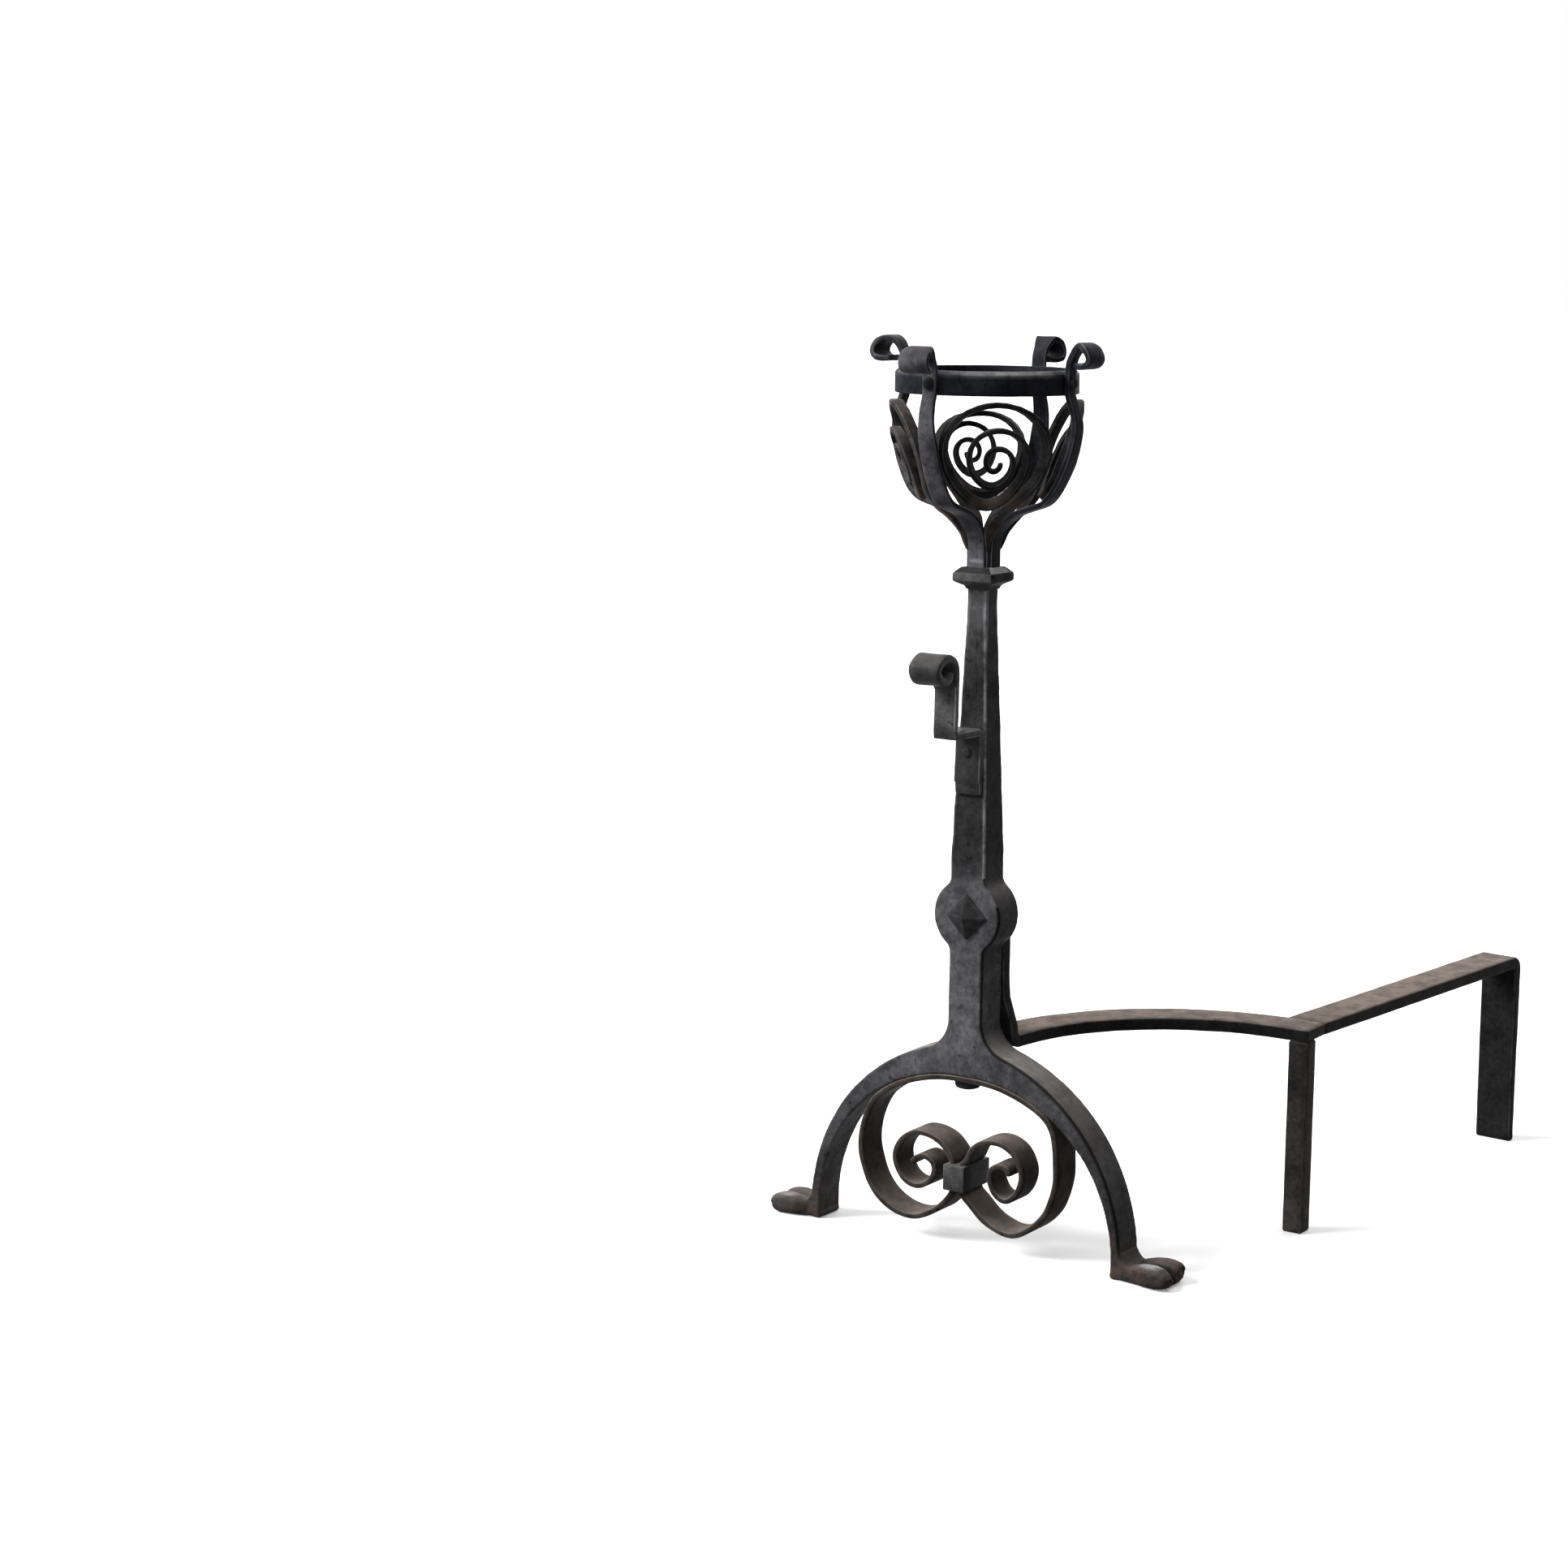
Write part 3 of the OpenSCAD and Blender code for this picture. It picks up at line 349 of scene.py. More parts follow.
def ironMaterial(name, look):
    material = bpy.data.materials.new(name)
    material.use_nodes = True
    tree = material.node_tree
    made = nodeMaker(tree)

    def mixColour(factor, under, over, blend="MIX"):
        return made("Mix", 2, {0: factor, 6: under, 7: over}, data_type="RGBA", blend_type=blend)

    def multiplied(tone, level):
        return mixColour(1.0, tone, level, "MULTIPLY")

    def ranged(source, fromLow, fromHigh, toLow=0, toHigh=1):
        return made("MapRange", "Result", {
            "Value": source, "From Min": fromLow, "From Max": fromHigh, "To Min": toLow,
            "To Max": toHigh})

    def times(a, b, operation="MULTIPLY"):
        return made("Math", 0, {0: a, 1: b}, operation=operation)

    def noise(pattern, detail=3, roughness=0.6):
        return made("TexNoise", "Fac", {
            "Vector": place, "Scale": 1 / (surface[pattern] * mm), "Detail": detail,
            "Roughness": roughness})

    def bump(height, deep, under):
        return made("Bump", "Normal", {"Strength": 0.5, "Distance": deep * mm, "Height": height, **under})

    def byHeight(table):
        # level by height over the hearth, as a ramp of greys
        ramp = tree.nodes.new("ShaderNodeValToRGB")
        highest = max(level for z, level in table)
        steps = ramp.color_ramp.elements
        for i, (z, level) in enumerate(table):
            step = steps[0] if i == 0 else steps.new(z / surface["tallest"])
            step.position = z / surface["tallest"]
            step.color = (*[level / highest] * 3, 1)
        steps.remove(steps[-1])  # the ramp's own last step
        fill(tree, ramp, {"Fac": ranged(placeZ, 0, surface["tallest"] * mm)})
        return times(ramp.outputs["Color"], highest)

    place = made("TexCoord", "Object", {})
    facing = made("NewGeometry", "Normal", {})
    placeX, placeZ = (made("SeparateXYZ", way, {"Vector": place}) for way in "XZ")
    faceX, faceZ = (made("SeparateXYZ", way, {"Vector": facing}) for way in "XZ")

    # soft clouds, faint speckle and a few dark pits
    clouds = times(times(noise("clouds"), 0.6), times(noise("mottle", 4), 0.4), "ADD")
    tone = mixColour(ranged(clouds, 0.4, 0.6), look["dark"], look["light"])
    tone = multiplied(tone, ranged(noise("speckle", 3, 0.7), 0.3, 0.7, 0.7, 1.3))
    pits = times(ranged(noise("pits", 2), 0.36, 0.3), 0.7)
    tone = mixColour(pits, tone, tuple(0.5 * c for c in look["dark"]))

    # rust and dust lie in patches on what faces up
    faceUp = ranged(faceZ, 0.25, 0.8, 0, look["rustShare"])
    tone = mixColour(times(faceUp, ranged(noise("rust", 4), 0.3, 0.58, 0.4, 1)), tone, look["rust"])

    # lighter and darker stretches by height, and painted light and shade on the faces that look right,
    # most light on the inner face of the left leg low down
    if "byHeight" in look:
        tone = multiplied(tone, byHeight(look["byHeight"]))
    if "rightByHeight" in look:
        right = multiplied(tone, byHeight(look["rightByHeight"]))
        if "innerByHeight" in look:
            inner = multiplied(tone, byHeight(look["innerByHeight"]))
            right = mixColour(ranged(placeX, -0.02, -0.05), right, inner)
        tone = mixColour(ranged(faceX, 0.45, 0.8), tone, right)
    # painted shade: darker towards the right-hand end of the piece
    if "farRight" in look:
        tone = multiplied(tone, ranged(placeX, 0.02, 0.07, 1, look["farRight"]))
    if "copper" in look:
        patches = ranged(noise("copper", 1), 0.46, 0.6, 0, 0.6)
        tone = mixColour(times(patches, ranged(placeZ, 0.462, 0.444)), tone, look["copper"])

    # brown near the hearth, and painted shade, near black, in the clefts and the other places marked by a
    # negative arris
    if "damp" in look:
        low = ranged(placeZ, 0.035, 0.002, 0, look["damp"])
        tone = mixColour(times(low, ranged(noise("damp"), 0.35, 0.6)), tone, surface["dampTone"])
    worn = made("Attribute", "Fac", {}, attribute_name="arris")
    tone = mixColour(ranged(worn, 0, -1), tone, surface["cleftTone"])

    # arrises rubbed bright and given painted highlight, most of all those that look right
    handled = ranged(faceX, -0.1, 0.5, 0.25, look["rubShare"])
    patches = times(handled, ranged(noise("rubbed"), 0.34, 0.6, 0.1, 1))
    tone = mixColour(times(worn, patches), tone, surface["rubbedTone"])

    # hammer dents and the grain of the scale
    dents = made("TexVoronoi", "Distance", {
        "Vector": place, "Scale": 1 / (surface["dents"] * mm), "Smoothness": 0.9}, feature="SMOOTH_F1")
    dented = bump(dents, surface["dentDeep"], {})
    fill(tree, tree.nodes["Principled BSDF"], {
        "Base Color": tone, "Roughness": ranged(noise("rough"), 0.3, 0.7, 0.42, 0.62),
        "Specular IOR Level": look.get("specular", surface["specular"]),
        "Normal": bump(noise("grain", 4), surface["grainDeep"], {"Normal": dented})})
    return material


iron = {name: ironMaterial(name + "Iron", look) for name, look in finishes.items()}
print("finishes made")


# Standard: one bar, split below and spread into two legs with cloven feet

standard = {
    "barWide": 23.2, "topWide": 13.2, "taperLow": 240, "taperTop": 388, "shoulder": 406,
    "tangWide": 10.6, "tangHigh": 16, "swellR": 22.5, "swellZ": 204, "swellBlend": 7, "archR": 97,
    "archOff": 5, "archZ": 9, "crownThick": 20.5, "crownLap": 12, "ankleThick": 6, "legBlend": 20,
    "toeReach": 40, "leftShort": 5, "footShift": 2.5, "toeHigh": 12.8, "leftLower": 1.4,
    "toeApart": 8.4, "instepHigh": 9.5, "arris": 0.8, "voxel": 0.8}
# painted shade in the toe cleft and along the right front corner, painted highlight on the toe and taper
standardWear = {
    "footTop": 20, "footStart": 10, "cleftHalf": 3, "cleftFade": 1.6, "cleftRun": 6, "toeZ": 11.6,
    "toeFade": 0.5, "toeShare": 1.8, "burrLow": 12, "burrOver": 8, "burrWide": 1.9, "burrFade": 0.8,
    "burrShare": 0.9, "burrRun": 8, "taperOver": 24, "chamfer": [(350, 1.7), (380, 2.6)],
    "chamferFade": 0.9}
shoulder = standard["shoulder"]
ankle = standard["archOff"] + standard["archR"]
# radius and middle of the outer face of a leg
legR = standard["archR"] + standard["crownThick"]
legX = ankle + standard["ankleThick"] - legR


def shaftHalf(z):
    s = standard
    return between(z, [(s["taperLow"], s["barWide"] / 2), (s["taperTop"], s["topWide"] / 2)])


def besideCircle(blend, circleX, circleR):
    # middle of a blend beside the shaft's face, and the height where it touches the circle
    middleX = standard["barWide"] / 2 + blend
    rise = math.sqrt((circleR + blend) ** 2 - (middleX - circleX) ** 2)
    return middleX, rise, rise * circleR / (circleR + blend)


def frontHalf(z):
    # half width of the standard seen from the front, with its swelling and the webs of the legs
    s = standard
    half = shaftHalf(z)
    middleX, rise, touch = besideCircle(s["swellBlend"], 0, s["swellR"])
    away = abs(z - s["swellZ"])
    if away <= touch:
        half = max(half, math.sqrt(s["swellR"] ** 2 - away ** 2))
    elif away < rise:
        half = middleX - math.sqrt(s["swellBlend"] ** 2 - (rise - away) ** 2)
    middleX, rise, touch = besideCircle(s["legBlend"], legX, legR)
    if z < s["archZ"] + touch:
        half = legX + math.sqrt(legR ** 2 - (z - s["archZ"]) ** 2)
    elif z < s["archZ"] + rise:
        half = middleX - math.sqrt(s["legBlend"] ** 2 - (s["archZ"] + rise - z) ** 2)
    return half


def shaftStations():
    # close stations where the outline curves, wider ones along the taper
    low, high = standard["archZ"] + standard["archR"] + 2, standard["taperLow"]
    fine, coarse, widest = 1.5, 6, 64
    heights = [low + fine * i for i in range(int((high - low) / fine))]
    heights += [high + coarse * i for i in range(int((shoulder - high) / coarse) + 1)]
    heights = [z for z in heights if z < shoulder] + [shoulder]
    return stationsAlong([
        (Vector((0, 0, z)), min(2 * frontHalf(z), widest), 2 * shaftHalf(z)) for z in heights], xAxis)


def legStations(side):
    # from the crown of the arch round to the ankle, and down to the hearth
    s = standard
    offset = legX - s["archOff"]
    crown = (s["archR"] + math.sqrt(legR ** 2 - offset ** 2)) / 2 + s["archZ"]
    rows = [(-s["crownLap"], crown, s["crownThick"] - 1)]
    for turn in range(90, -1, -3):
        c, t = cosSin(turn)
        reach = offset * c + math.sqrt(legR ** 2 - (offset * t) ** 2)
        middle = (s["archR"] + reach) / 2
        rows.append((s["archOff"] + middle * c, s["archZ"] + middle * t, reach - s["archR"]))
    rows.append((rows[-1][0], 0, s["ankleThick"]))
    return stationsAlong(
        [(Vector((side * x, 0, z)), s["barWide"], thick) for x, z, thick in rows], yAxis * side)


def footBars(side):
    # instep and two toes, drawn outward from the ankle
    s = standard
    reach = s["toeReach"] - (s["leftShort"] if side < 0 else 0)

    def bar(name, rows, arris):
        # rows: distance from the inside of the leg, place across, lower and upper edge, width
        return drawOut(name, stationsAlong([
            (Vector((side * (ankle + x), y, (low + high) / 2)), wide, high - low)
            for x, y, low, high, wide in rows], yAxis), arris, rounds=4)

    wide, high = s["barWide"], s["instepHigh"]
    bars = [bar("instep", [
        (1.5, 0, 0, high + 7, wide), (5, 0, 0, high + 4, wide), (9, -0.4, 0, high + 0.6, wide + 0.4),
        (reach - 24, -1, 0, high - 1.4, wide + 1), (reach - 17, -2, 0, high - 3, wide + 2),
        (reach - 10, -s["footShift"], 0, high - 4, wide),
        (reach - 1.8, -s["footShift"], 0.6, 5.6, 19)], 2)]
    for toe in (-1, 1):
        # the worn tops of the toes fall away at their tips, the front ones most
        y = -s["footShift"] + toe * s["toeApart"]
        fall = (0.6 if side < 0 else 1) if toe < 0 else 0.35
        high = s["toeHigh"] - (s["leftLower"] if side < 0 < toe else 0)
        bars.append(bar("toe", [
            (reach - 31, y * 0.62, 1, 8.8, 8.6), (reach - 25, y * 0.78, 0.4, 10.8, 10.4),
            (reach - 19, y * 0.93, 0, high - 0.7, 12.4), (reach - 12, y, 0, high, 13.2),
            (reach - 7.6, y, 0, high - 0.9 * fall, 13.4), (reach - 4.2, y, 0.2, high - 3.2 * fall, 12.8),
            (reach - 1.9, y, 0.8, high - 1.2 - 4.6 * fall, 11.2),
            (reach - 0.7, y, 1.8, high - 3 - 4.6 * fall, 9)], 4.3))
    return bars


shaft = drawOut("shaft", shaftStations(), standard["arris"])
tang = drawOut("tang", stationsAlong([
    (Vector((0, 0, z)), standard["tangWide"], standard["tangWide"])
    for z in (shoulder - 3, shoulder + standard["tangHigh"])], xAxis), standard["arris"])
legs = [drawOut("leg", legStations(side), standard["arris"]) for side in (1, -1)]
standardPiece = joinPieces("standardForging", [shaft, tang, *legs, *footBars(1), *footBars(-1)])
applyModifier(standardPiece, "REMESH", mode="VOXEL", voxel_size=standard["voxel"] * mm)
applyModifier(standardPiece, "SMOOTH", factor=0.5, iterations=1)
hammer(standardPiece, (0.55, 16), (0.25, 6))
keepOnHearth(standardPiece)


def underFace(place):
    # depth under the right face of the shaft, of its web and of the leg
    middleX, rise, touch = besideCircle(standard["legBlend"], legX, legR)
    up = place.z - standard["archZ"]
    if up > rise:
        return abs(frontHalf(place.z) - place.x)
    if up > touch:
        return abs(math.hypot(place.x - middleX, up - rise) - standard["legBlend"])
    return abs(math.hypot(place.x - legX, up) - legR)


def standardArris(place):
    s, w = standard, standardWear
    away = abs(place.x) - ankle
    if place.z < w["footTop"] and away > w["footStart"]:
        # painted shade in the cleft between the toes, and painted highlight on the top of the front toe
        aside = abs(place.y + s["footShift"])
        if aside < w["cleftHalf"] and place.z > 2:
            start = rampUp((away - w["footStart"]) / w["cleftRun"])
            return -rampUp((w["cleftHalf"] - aside) / w["cleftFade"]) * start
        worn = min(w["toeShare"], max(0, (place.z - w["toeZ"]) / w["toeFade"]))
        return worn if place.y < -s["footShift"] else 0
    if w["burrLow"] < place.z < s["swellZ"] + w["burrOver"] and place.x > 0:
        # a painted shade line along the right front corner, from the swelling down to the foot
        burr = max(underFace(place), place.y + s["barWide"] / 2)
        start = rampUp((place.z - w["burrLow"]) / w["burrRun"])
        return -w["burrShare"] * rampUp((w["burrWide"] - burr) / w["burrFade"]) * start
    if place.z < s["swellZ"] + w["taperOver"]:
        return 0
    # painted highlight lines along the arrises of the tapered part of the shaft
    half = shaftHalf(place.z)
    inward = max(half - abs(place.x), half - abs(place.y))
    return rampUp((between(place.z, w["chamfer"]) - inward) / w["chamferFade"])


markArris(standardPiece, standardArris)
finishPiece(standardPiece, iron["forged"], "forged_iron", "standard", angle=60)


# Arm: flat bar, bent up behind the shaft as a tab and curved to the right in plan

flatBar = {"wide": 25.4, "thick": 8, "topZ": 128.4, "arris": 1.2, "dents": (0.5, 22)}
flatMidZ = flatBar["topZ"] - flatBar["thick"] / 2
arm = {"startX": 7, "frontY": 11.7, "radius": 131.5, "run": 17, "tabX": 2, "tabWide": 22, "tabTop": 216,
       "bendR": 7}


def armStations():
    a, wide, thick = arm, flatBar["wide"], flatBar["thick"]
    midY = a["frontY"] + thick / 2
    centre = Vector((a["startX"] + a["radius"], midY, flatMidZ))
    tab = [
        (a["tabX"], a["tabTop"], a["tabWide"] / 2), (a["tabX"], a["tabTop"] - 5.5, a["tabWide"]),
        (a["tabX"], 190, a["tabWide"]), (a["tabX"], 165, a["tabWide"]),
        (a["tabX"] + 0.6, 150, a["tabWide"] + 0.6), (a["startX"] - 1.4, 138, wide - 1),
        (a["startX"], flatMidZ + a["bendR"] + 1, wide)]
    rows = [(Vector((x, midY, z)), tabWide, thick, yAxis) for x, z, tabWide in tab]
    for turn in range(0, 91, 15):
        c, s = cosSin(turn)
        place = Vector((a["startX"], midY + a["bendR"] * (1 - c), flatMidZ + a["bendR"] * (1 - s)))
        rows.append((place, wide, thick, Vector((0, c, s))))
    first = math.degrees(math.asin((a["bendR"] + 1) / a["radius"]))
    for i in range(41):
        radial = spoke(180 - first - (90 - first) * i / 40)[0]
        rows.append((centre + a["radius"] * radial, wide, thick, zAxis))
    for share in (0.35, 0.7, 1):
        rows.append((centre + Vector((a["run"] * share, a["radius"], 0)), wide, thick, zAxis))
    return stationsAlong(rows)


def flatPiece(name, stations):
    piece = drawOut(name, stations, flatBar["arris"], columns=7)
    applyModifier(piece, "SUBSURF", levels=1, render_levels=1, subdivision_type="SIMPLE")
    hammer(piece, flatBar["dents"])
    return piece


armPiece = flatPiece("armBar", armStations())
finishPiece(armPiece, iron["billet"], "billet_iron", "curved_arm")


# Billet bar: butted against the back of the arm, bent down behind as the rear leg

billet = {"length": 260.3, "splay": 5.5, "bendR": 5.5, "legThick": 6, "lap": 0.8}


def billetStations():
    b, f, a = billet, flatBar, arm
    start = Vector((
        a["startX"] + a["radius"] + a["run"] - f["wide"] / 2,
        a["frontY"] + f["thick"] / 2 + a["radius"] + f["wide"] / 2 - b["lap"], 0))
    c, s = cosSin(b["splay"])
    along, across = Vector((s, c, 0)), Vector((c, -s, 0))
    bendAt = b["length"] - f["thick"] / 2 - b["bendR"]
    # distance along the bar, height and thickness
    rows = [(i * bendAt / 40, flatMidZ, f["thick"]) for i in range(41)]
    for turn in range(15, 91, 15):
        c, s = cosSin(turn)
        rows.append((bendAt + b["bendR"] * s, flatMidZ - b["bendR"] * (1 - c), f["thick"]))
    legTop = flatMidZ - b["bendR"]
    for i in range(1, 16):
        thick = f["thick"] + (b["legThick"] - f["thick"]) * i / 15
        rows.append((b["length"] - thick / 2, legTop * (1 - i / 15), thick))
    stations = stationsAlong(
        [(start + along * s + zAxis * z, f["wide"], thick) for s, z, thick in rows], across)
    stations[0][1] = stations[1][1] = xAxis  # its front end is cut square to the arm
    return stations


billetPiece = flatPiece("billetBar", billetStations())
keepOnHearth(billetPiece)
finishPiece(billetPiece, iron["billet"], "billet_iron", "billet_bar")


# Middle leg: square bar under the corner

legLow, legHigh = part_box("middle_leg")
legMiddle = (legLow + legHigh) / 2 / mm
legPiece = drawOut("middleLegBar", stationsAlong([
    (Vector((*legMiddle.xy, z)), (legHigh.x - legLow.x) / mm, (legHigh.y - legLow.y) / mm)
    for z in (*range(0, 120, 7), legHigh.z / mm)], xAxis), 1, columns=2, rows=2)
hammer(legPiece, (0.3, 14))
keepOnHearth(legPiece)
finishPiece(legPiece, iron["leg"], "billet_iron", "middle_leg")


# Base scroll: one flat band under the arch, rolled in at both ends

scroll = {
    "thick": 3.5, "wide": 23, "endWide": 17, "endSteps": 96, "middleX": -3.5, "inset": 33, "footZ": 12,
    "leaveTurn": 62, "clipZ": 43.3, "clipHigh": 16, "apart": 3.3, "gap": 0.1, "arris": 0.9}


def scrollStations():
    s, d = scroll, standard
    half = s["thick"] / 2
    lieR = d["archR"] - s["gap"] - half
    clipLow, clipTop = s["clipZ"] - s["clipHigh"] / 2, s["clipZ"] + s["clipHigh"] / 2
    bandX = half + s["apart"] / 2
    loopX = ankle - s["inset"] - half
    loopLow = s["footZ"] + half
    leaveZ = d["archZ"] + lieR * cosSin(s["leaveTurn"])[1]

    def loop(top, *shares):
        # shares of the loop's reach, and of the height up to its top
        return [(bandX + x * (loopX - bandX), loopLow + up * (top - loopLow)) for x, up in shares]

    def eye(*steps):
        # steps from the middle of the clip's top
        return [(x, clipTop + z) for x, z in steps]

    intoClip = [(bandX + 0.9, clipLow - 3.2), (bandX, clipLow - 0.4)]
    leftLoop = loop(
        leaveZ, (0.78, 0.94), (0.882, 0.865), (0.963, 0.747), (1.014, 0.613), (1.028, 0.469), (0.99, 0.336),
        (0.915, 0.193), (0.79, 0.083), (0.615, 0.012), (0.41, 0)) + loop(
        clipLow, (0.21, 0.26), (0.09, 0.56))
    rightLoop = loop(
        leaveZ, (0.885, 0.94), (0.957, 0.85), (0.988, 0.735), (1, 0.609), (1, 0.47), (0.957, 0.326),
        (0.892, 0.205), (0.77, 0.096), (0.61, 0.015), (0.485, 0)) + loop(
        clipLow, (0.355, 0.1), (0.228, 0.29), (0.088, 0.66))
    leftEye = eye(
        (bandX, 0.3), (4.2, 2.6), (6.8, 6.3), (11.2, 10.7), (17.6, 13.9), (25, 15.2), (32.6, 14),
        (40.6, 8.2), (44.8, 0), (44, -8), (38.4, -16), (30, -18.8), (22, -15.4), (17.8, -9), (18.8, -2.8),
        (24.6, 0.2), (30.6, -1.6), (34, -5))
    rightEye = eye(
        (bandX, 0.3), (5.2, 2), (6.8, 4.6), (8.2, 7.8), (10.8, 11.7), (16, 15.3), (23.6, 17),
        (31.4, 15.8), (38.8, 10.6), (43.4, 0), (40.6, -11), (33.6, -17.6), (26, -15.6), (21.4, -7.6),
        (22, -0.8), (27, 2.6), (32.4, 1.6), (34.4, -2.4))

    def halfPath(side, loopPoints, eyePoints):
        lie = []
        for i in range(17):
            c, t = cosSin(90 - (90 - s["leaveTurn"]) * i / 16)
            lie.append((side * (d["archOff"] + lieR * c), d["archZ"] + lieR * t))
        free = [[(s["middleX"] + side * x, z) for x, z in part] for part in (loopPoints, eyePoints)]
        return lie[:-1] + smoothPath([lie[-1]] + free[0], 6) + smoothPath(free[1], 6)

    left, right = halfPath(-1, leftLoop + intoClip, leftEye), halfPath(1, rightLoop + intoClip, rightEye)
    # the band is drawn a little narrower towards its two ends
    ends = [(0, s["endWide"]), (s["endSteps"], s["wide"])]
    rows = [[(Vector((x, 0, z)), between(i, ends), s["thick"]) for i, (x, z) in enumerate(path[::-1])]
            for path in (left, right)]
    return stationsAlong(rows[0] + rows[1][::-1], yAxis)


scrollPiece = drawOut("scrollBand", scrollStations(), scroll["arris"], columns=5)
hammer(scrollPiece, (0.35, 14))
finishPiece(scrollPiece, iron["band"], "strip_iron", "base_scroll")


# Clip and crown rivet

clipLow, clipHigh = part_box("scroll_clip")
clipEased = 0.9
clipPiece = startPiece(
    "scrollClip", bpy.ops.mesh.primitive_cube_add, clipHigh - clipLow, size=1,
    location=(clipLow + clipHigh) / 2)
bpy.ops.mesh.bevel(offset=clipEased * mm, segments=3, affect="EDGES")
bpy.ops.mesh.subdivide(number_cuts=2)
endEditing()
hammer(clipPiece, (0.4, 8))
finishPiece(clipPiece, iron["hook"], "strip_iron", "scroll_clip")

# rows of a rivet head: share of its height, and share of its radius at the upper end
domed = ((0.25, 1), (0.3, 0.93), (0.25, 0.76), (0.2, 0.45))
flatted = ((0.3, 1), (0.4, 0.98), (0.2, 0.9), (0.1, 0.7))


def domedHead(name, place, out, radius, height, profile=domed):
    # a disc drawn up in rings and closed with a small flat
    head = startPiece(
        name, bpy.ops.mesh.primitive_circle_add, vertices=32, radius=radius * mm, fill_type="NGON")
    size = 1.0
    for share, shrink in profile:
        extrudeBy(0, 0, height * share * mm)
        bpy.ops.transform.resize(value=[shrink / size] * 3)
        size = shrink
    endEditing()
    head.data.transform(Matrix.Translation(place * mm) @ out.to_track_quat("Z", "Y").to_matrix().to_4x4())
    return head


crown = {"headR": 7.9, "headHigh": 5.5, "sunk": 0.2}
crownTop = standard["archZ"] + standard["archR"] - scroll["thick"] - crown["sunk"]
crownRivet = domedHead(
    "crownRivetHead", Vector((scroll["middleX"], 0, crownTop)), -zAxis, crown["headR"], crown["headHigh"],
    flatted)
hammer(crownRivet, (0.4, 6))
finishPiece(crownRivet, iron["rivet"], "rivet_iron", "crown_rivet")


# Stud: pyramid head in front, upset end behind

stud = {
    "side": 19.6, "high": 6, "edge": 1, "tip": 0.09, "eased": 0.5, "frontY": -11.7, "backY": 19.8,
    # the ridges and the rim of the head take a painted highlight
    "backR": 7.5, "backHigh": 4, "ridgeHalf": 0.5, "rim": 0.93, "rubbed": 0.14}

studHead = startPiece("studHead", bpy.ops.mesh.primitive_plane_add, size=stud["side"] * mm)
extrudeBy(0, 0, stud["edge"] * mm)
extrudeBy(0, 0, (stud["high"] - stud["edge"]) * mm)
bpy.ops.transform.resize(value=(stud["tip"], stud["tip"], 1))
onAll(bpy.ops.mesh.bevel, offset=stud["eased"] * mm, segments=2, affect="EDGES")
onAll(bpy.ops.mesh.remove_doubles, threshold=0.03 * mm)
bpy.ops.mesh.subdivide(number_cuts=5)
endEditing()
studHead.data.transform(
    Matrix.Translation(Vector((0, stud["frontY"], standard["swellZ"])) * mm)
    @ Matrix.Rotation(math.radians(90), 4, "X") @ Matrix.Rotation(math.radians(45), 4, "Z"))
studBack = domedHead(
    "studBack", Vector((0, stud["backY"], standard["swellZ"])), yAxis, stud["backR"], stud["backHigh"])
studPiece = joinPieces("studForging", [studHead, studBack])
hammer(studPiece, (0.35, 6))


def studArris(place):
    # painted highlight on the ridges and the rim of the head
    fromMiddle = abs(place.z - standard["swellZ"])
    if place.y > stud["frontY"] + 2:
        return 0
    rim = (abs(place.x) + fromMiddle) / (stud["side"] / math.sqrt(2))
    ridge = min(abs(place.x), fromMiddle)
    return stud["rubbed"] if ridge < stud["ridgeHalf"] or rim > stud["rim"] else 0


markArris(studPiece, studArris)
finishPiece(studPiece, iron["rivet"], "rivet_iron", "stud", angle=28)


# Spit hook: strip on the front of the shaft, bent forward, up and rolled

hook = {
    "topZ": 317.5, "thick": 4.6, "plateWide": 17.5, "neckWide": 14.8, "rollWide": 20.4, "plateLong": 40,
    "reach": 30, "rise": 47, "rollHigh": 18.5, "rollLong": 25, "gap": 0.1, "rivetDrop": 15,
    # the neck's brightening and its glints are painted highlight, the roll's darkening is painted shade
    "headR": 3, "headHigh": 1.2, "backR": 4.5, "backHigh": 2.5, "glints": ((19.5, 2.4), (8.3, 3.2)),
    "rollDark": 0.35, "rubbed": 2, "glint": 5}


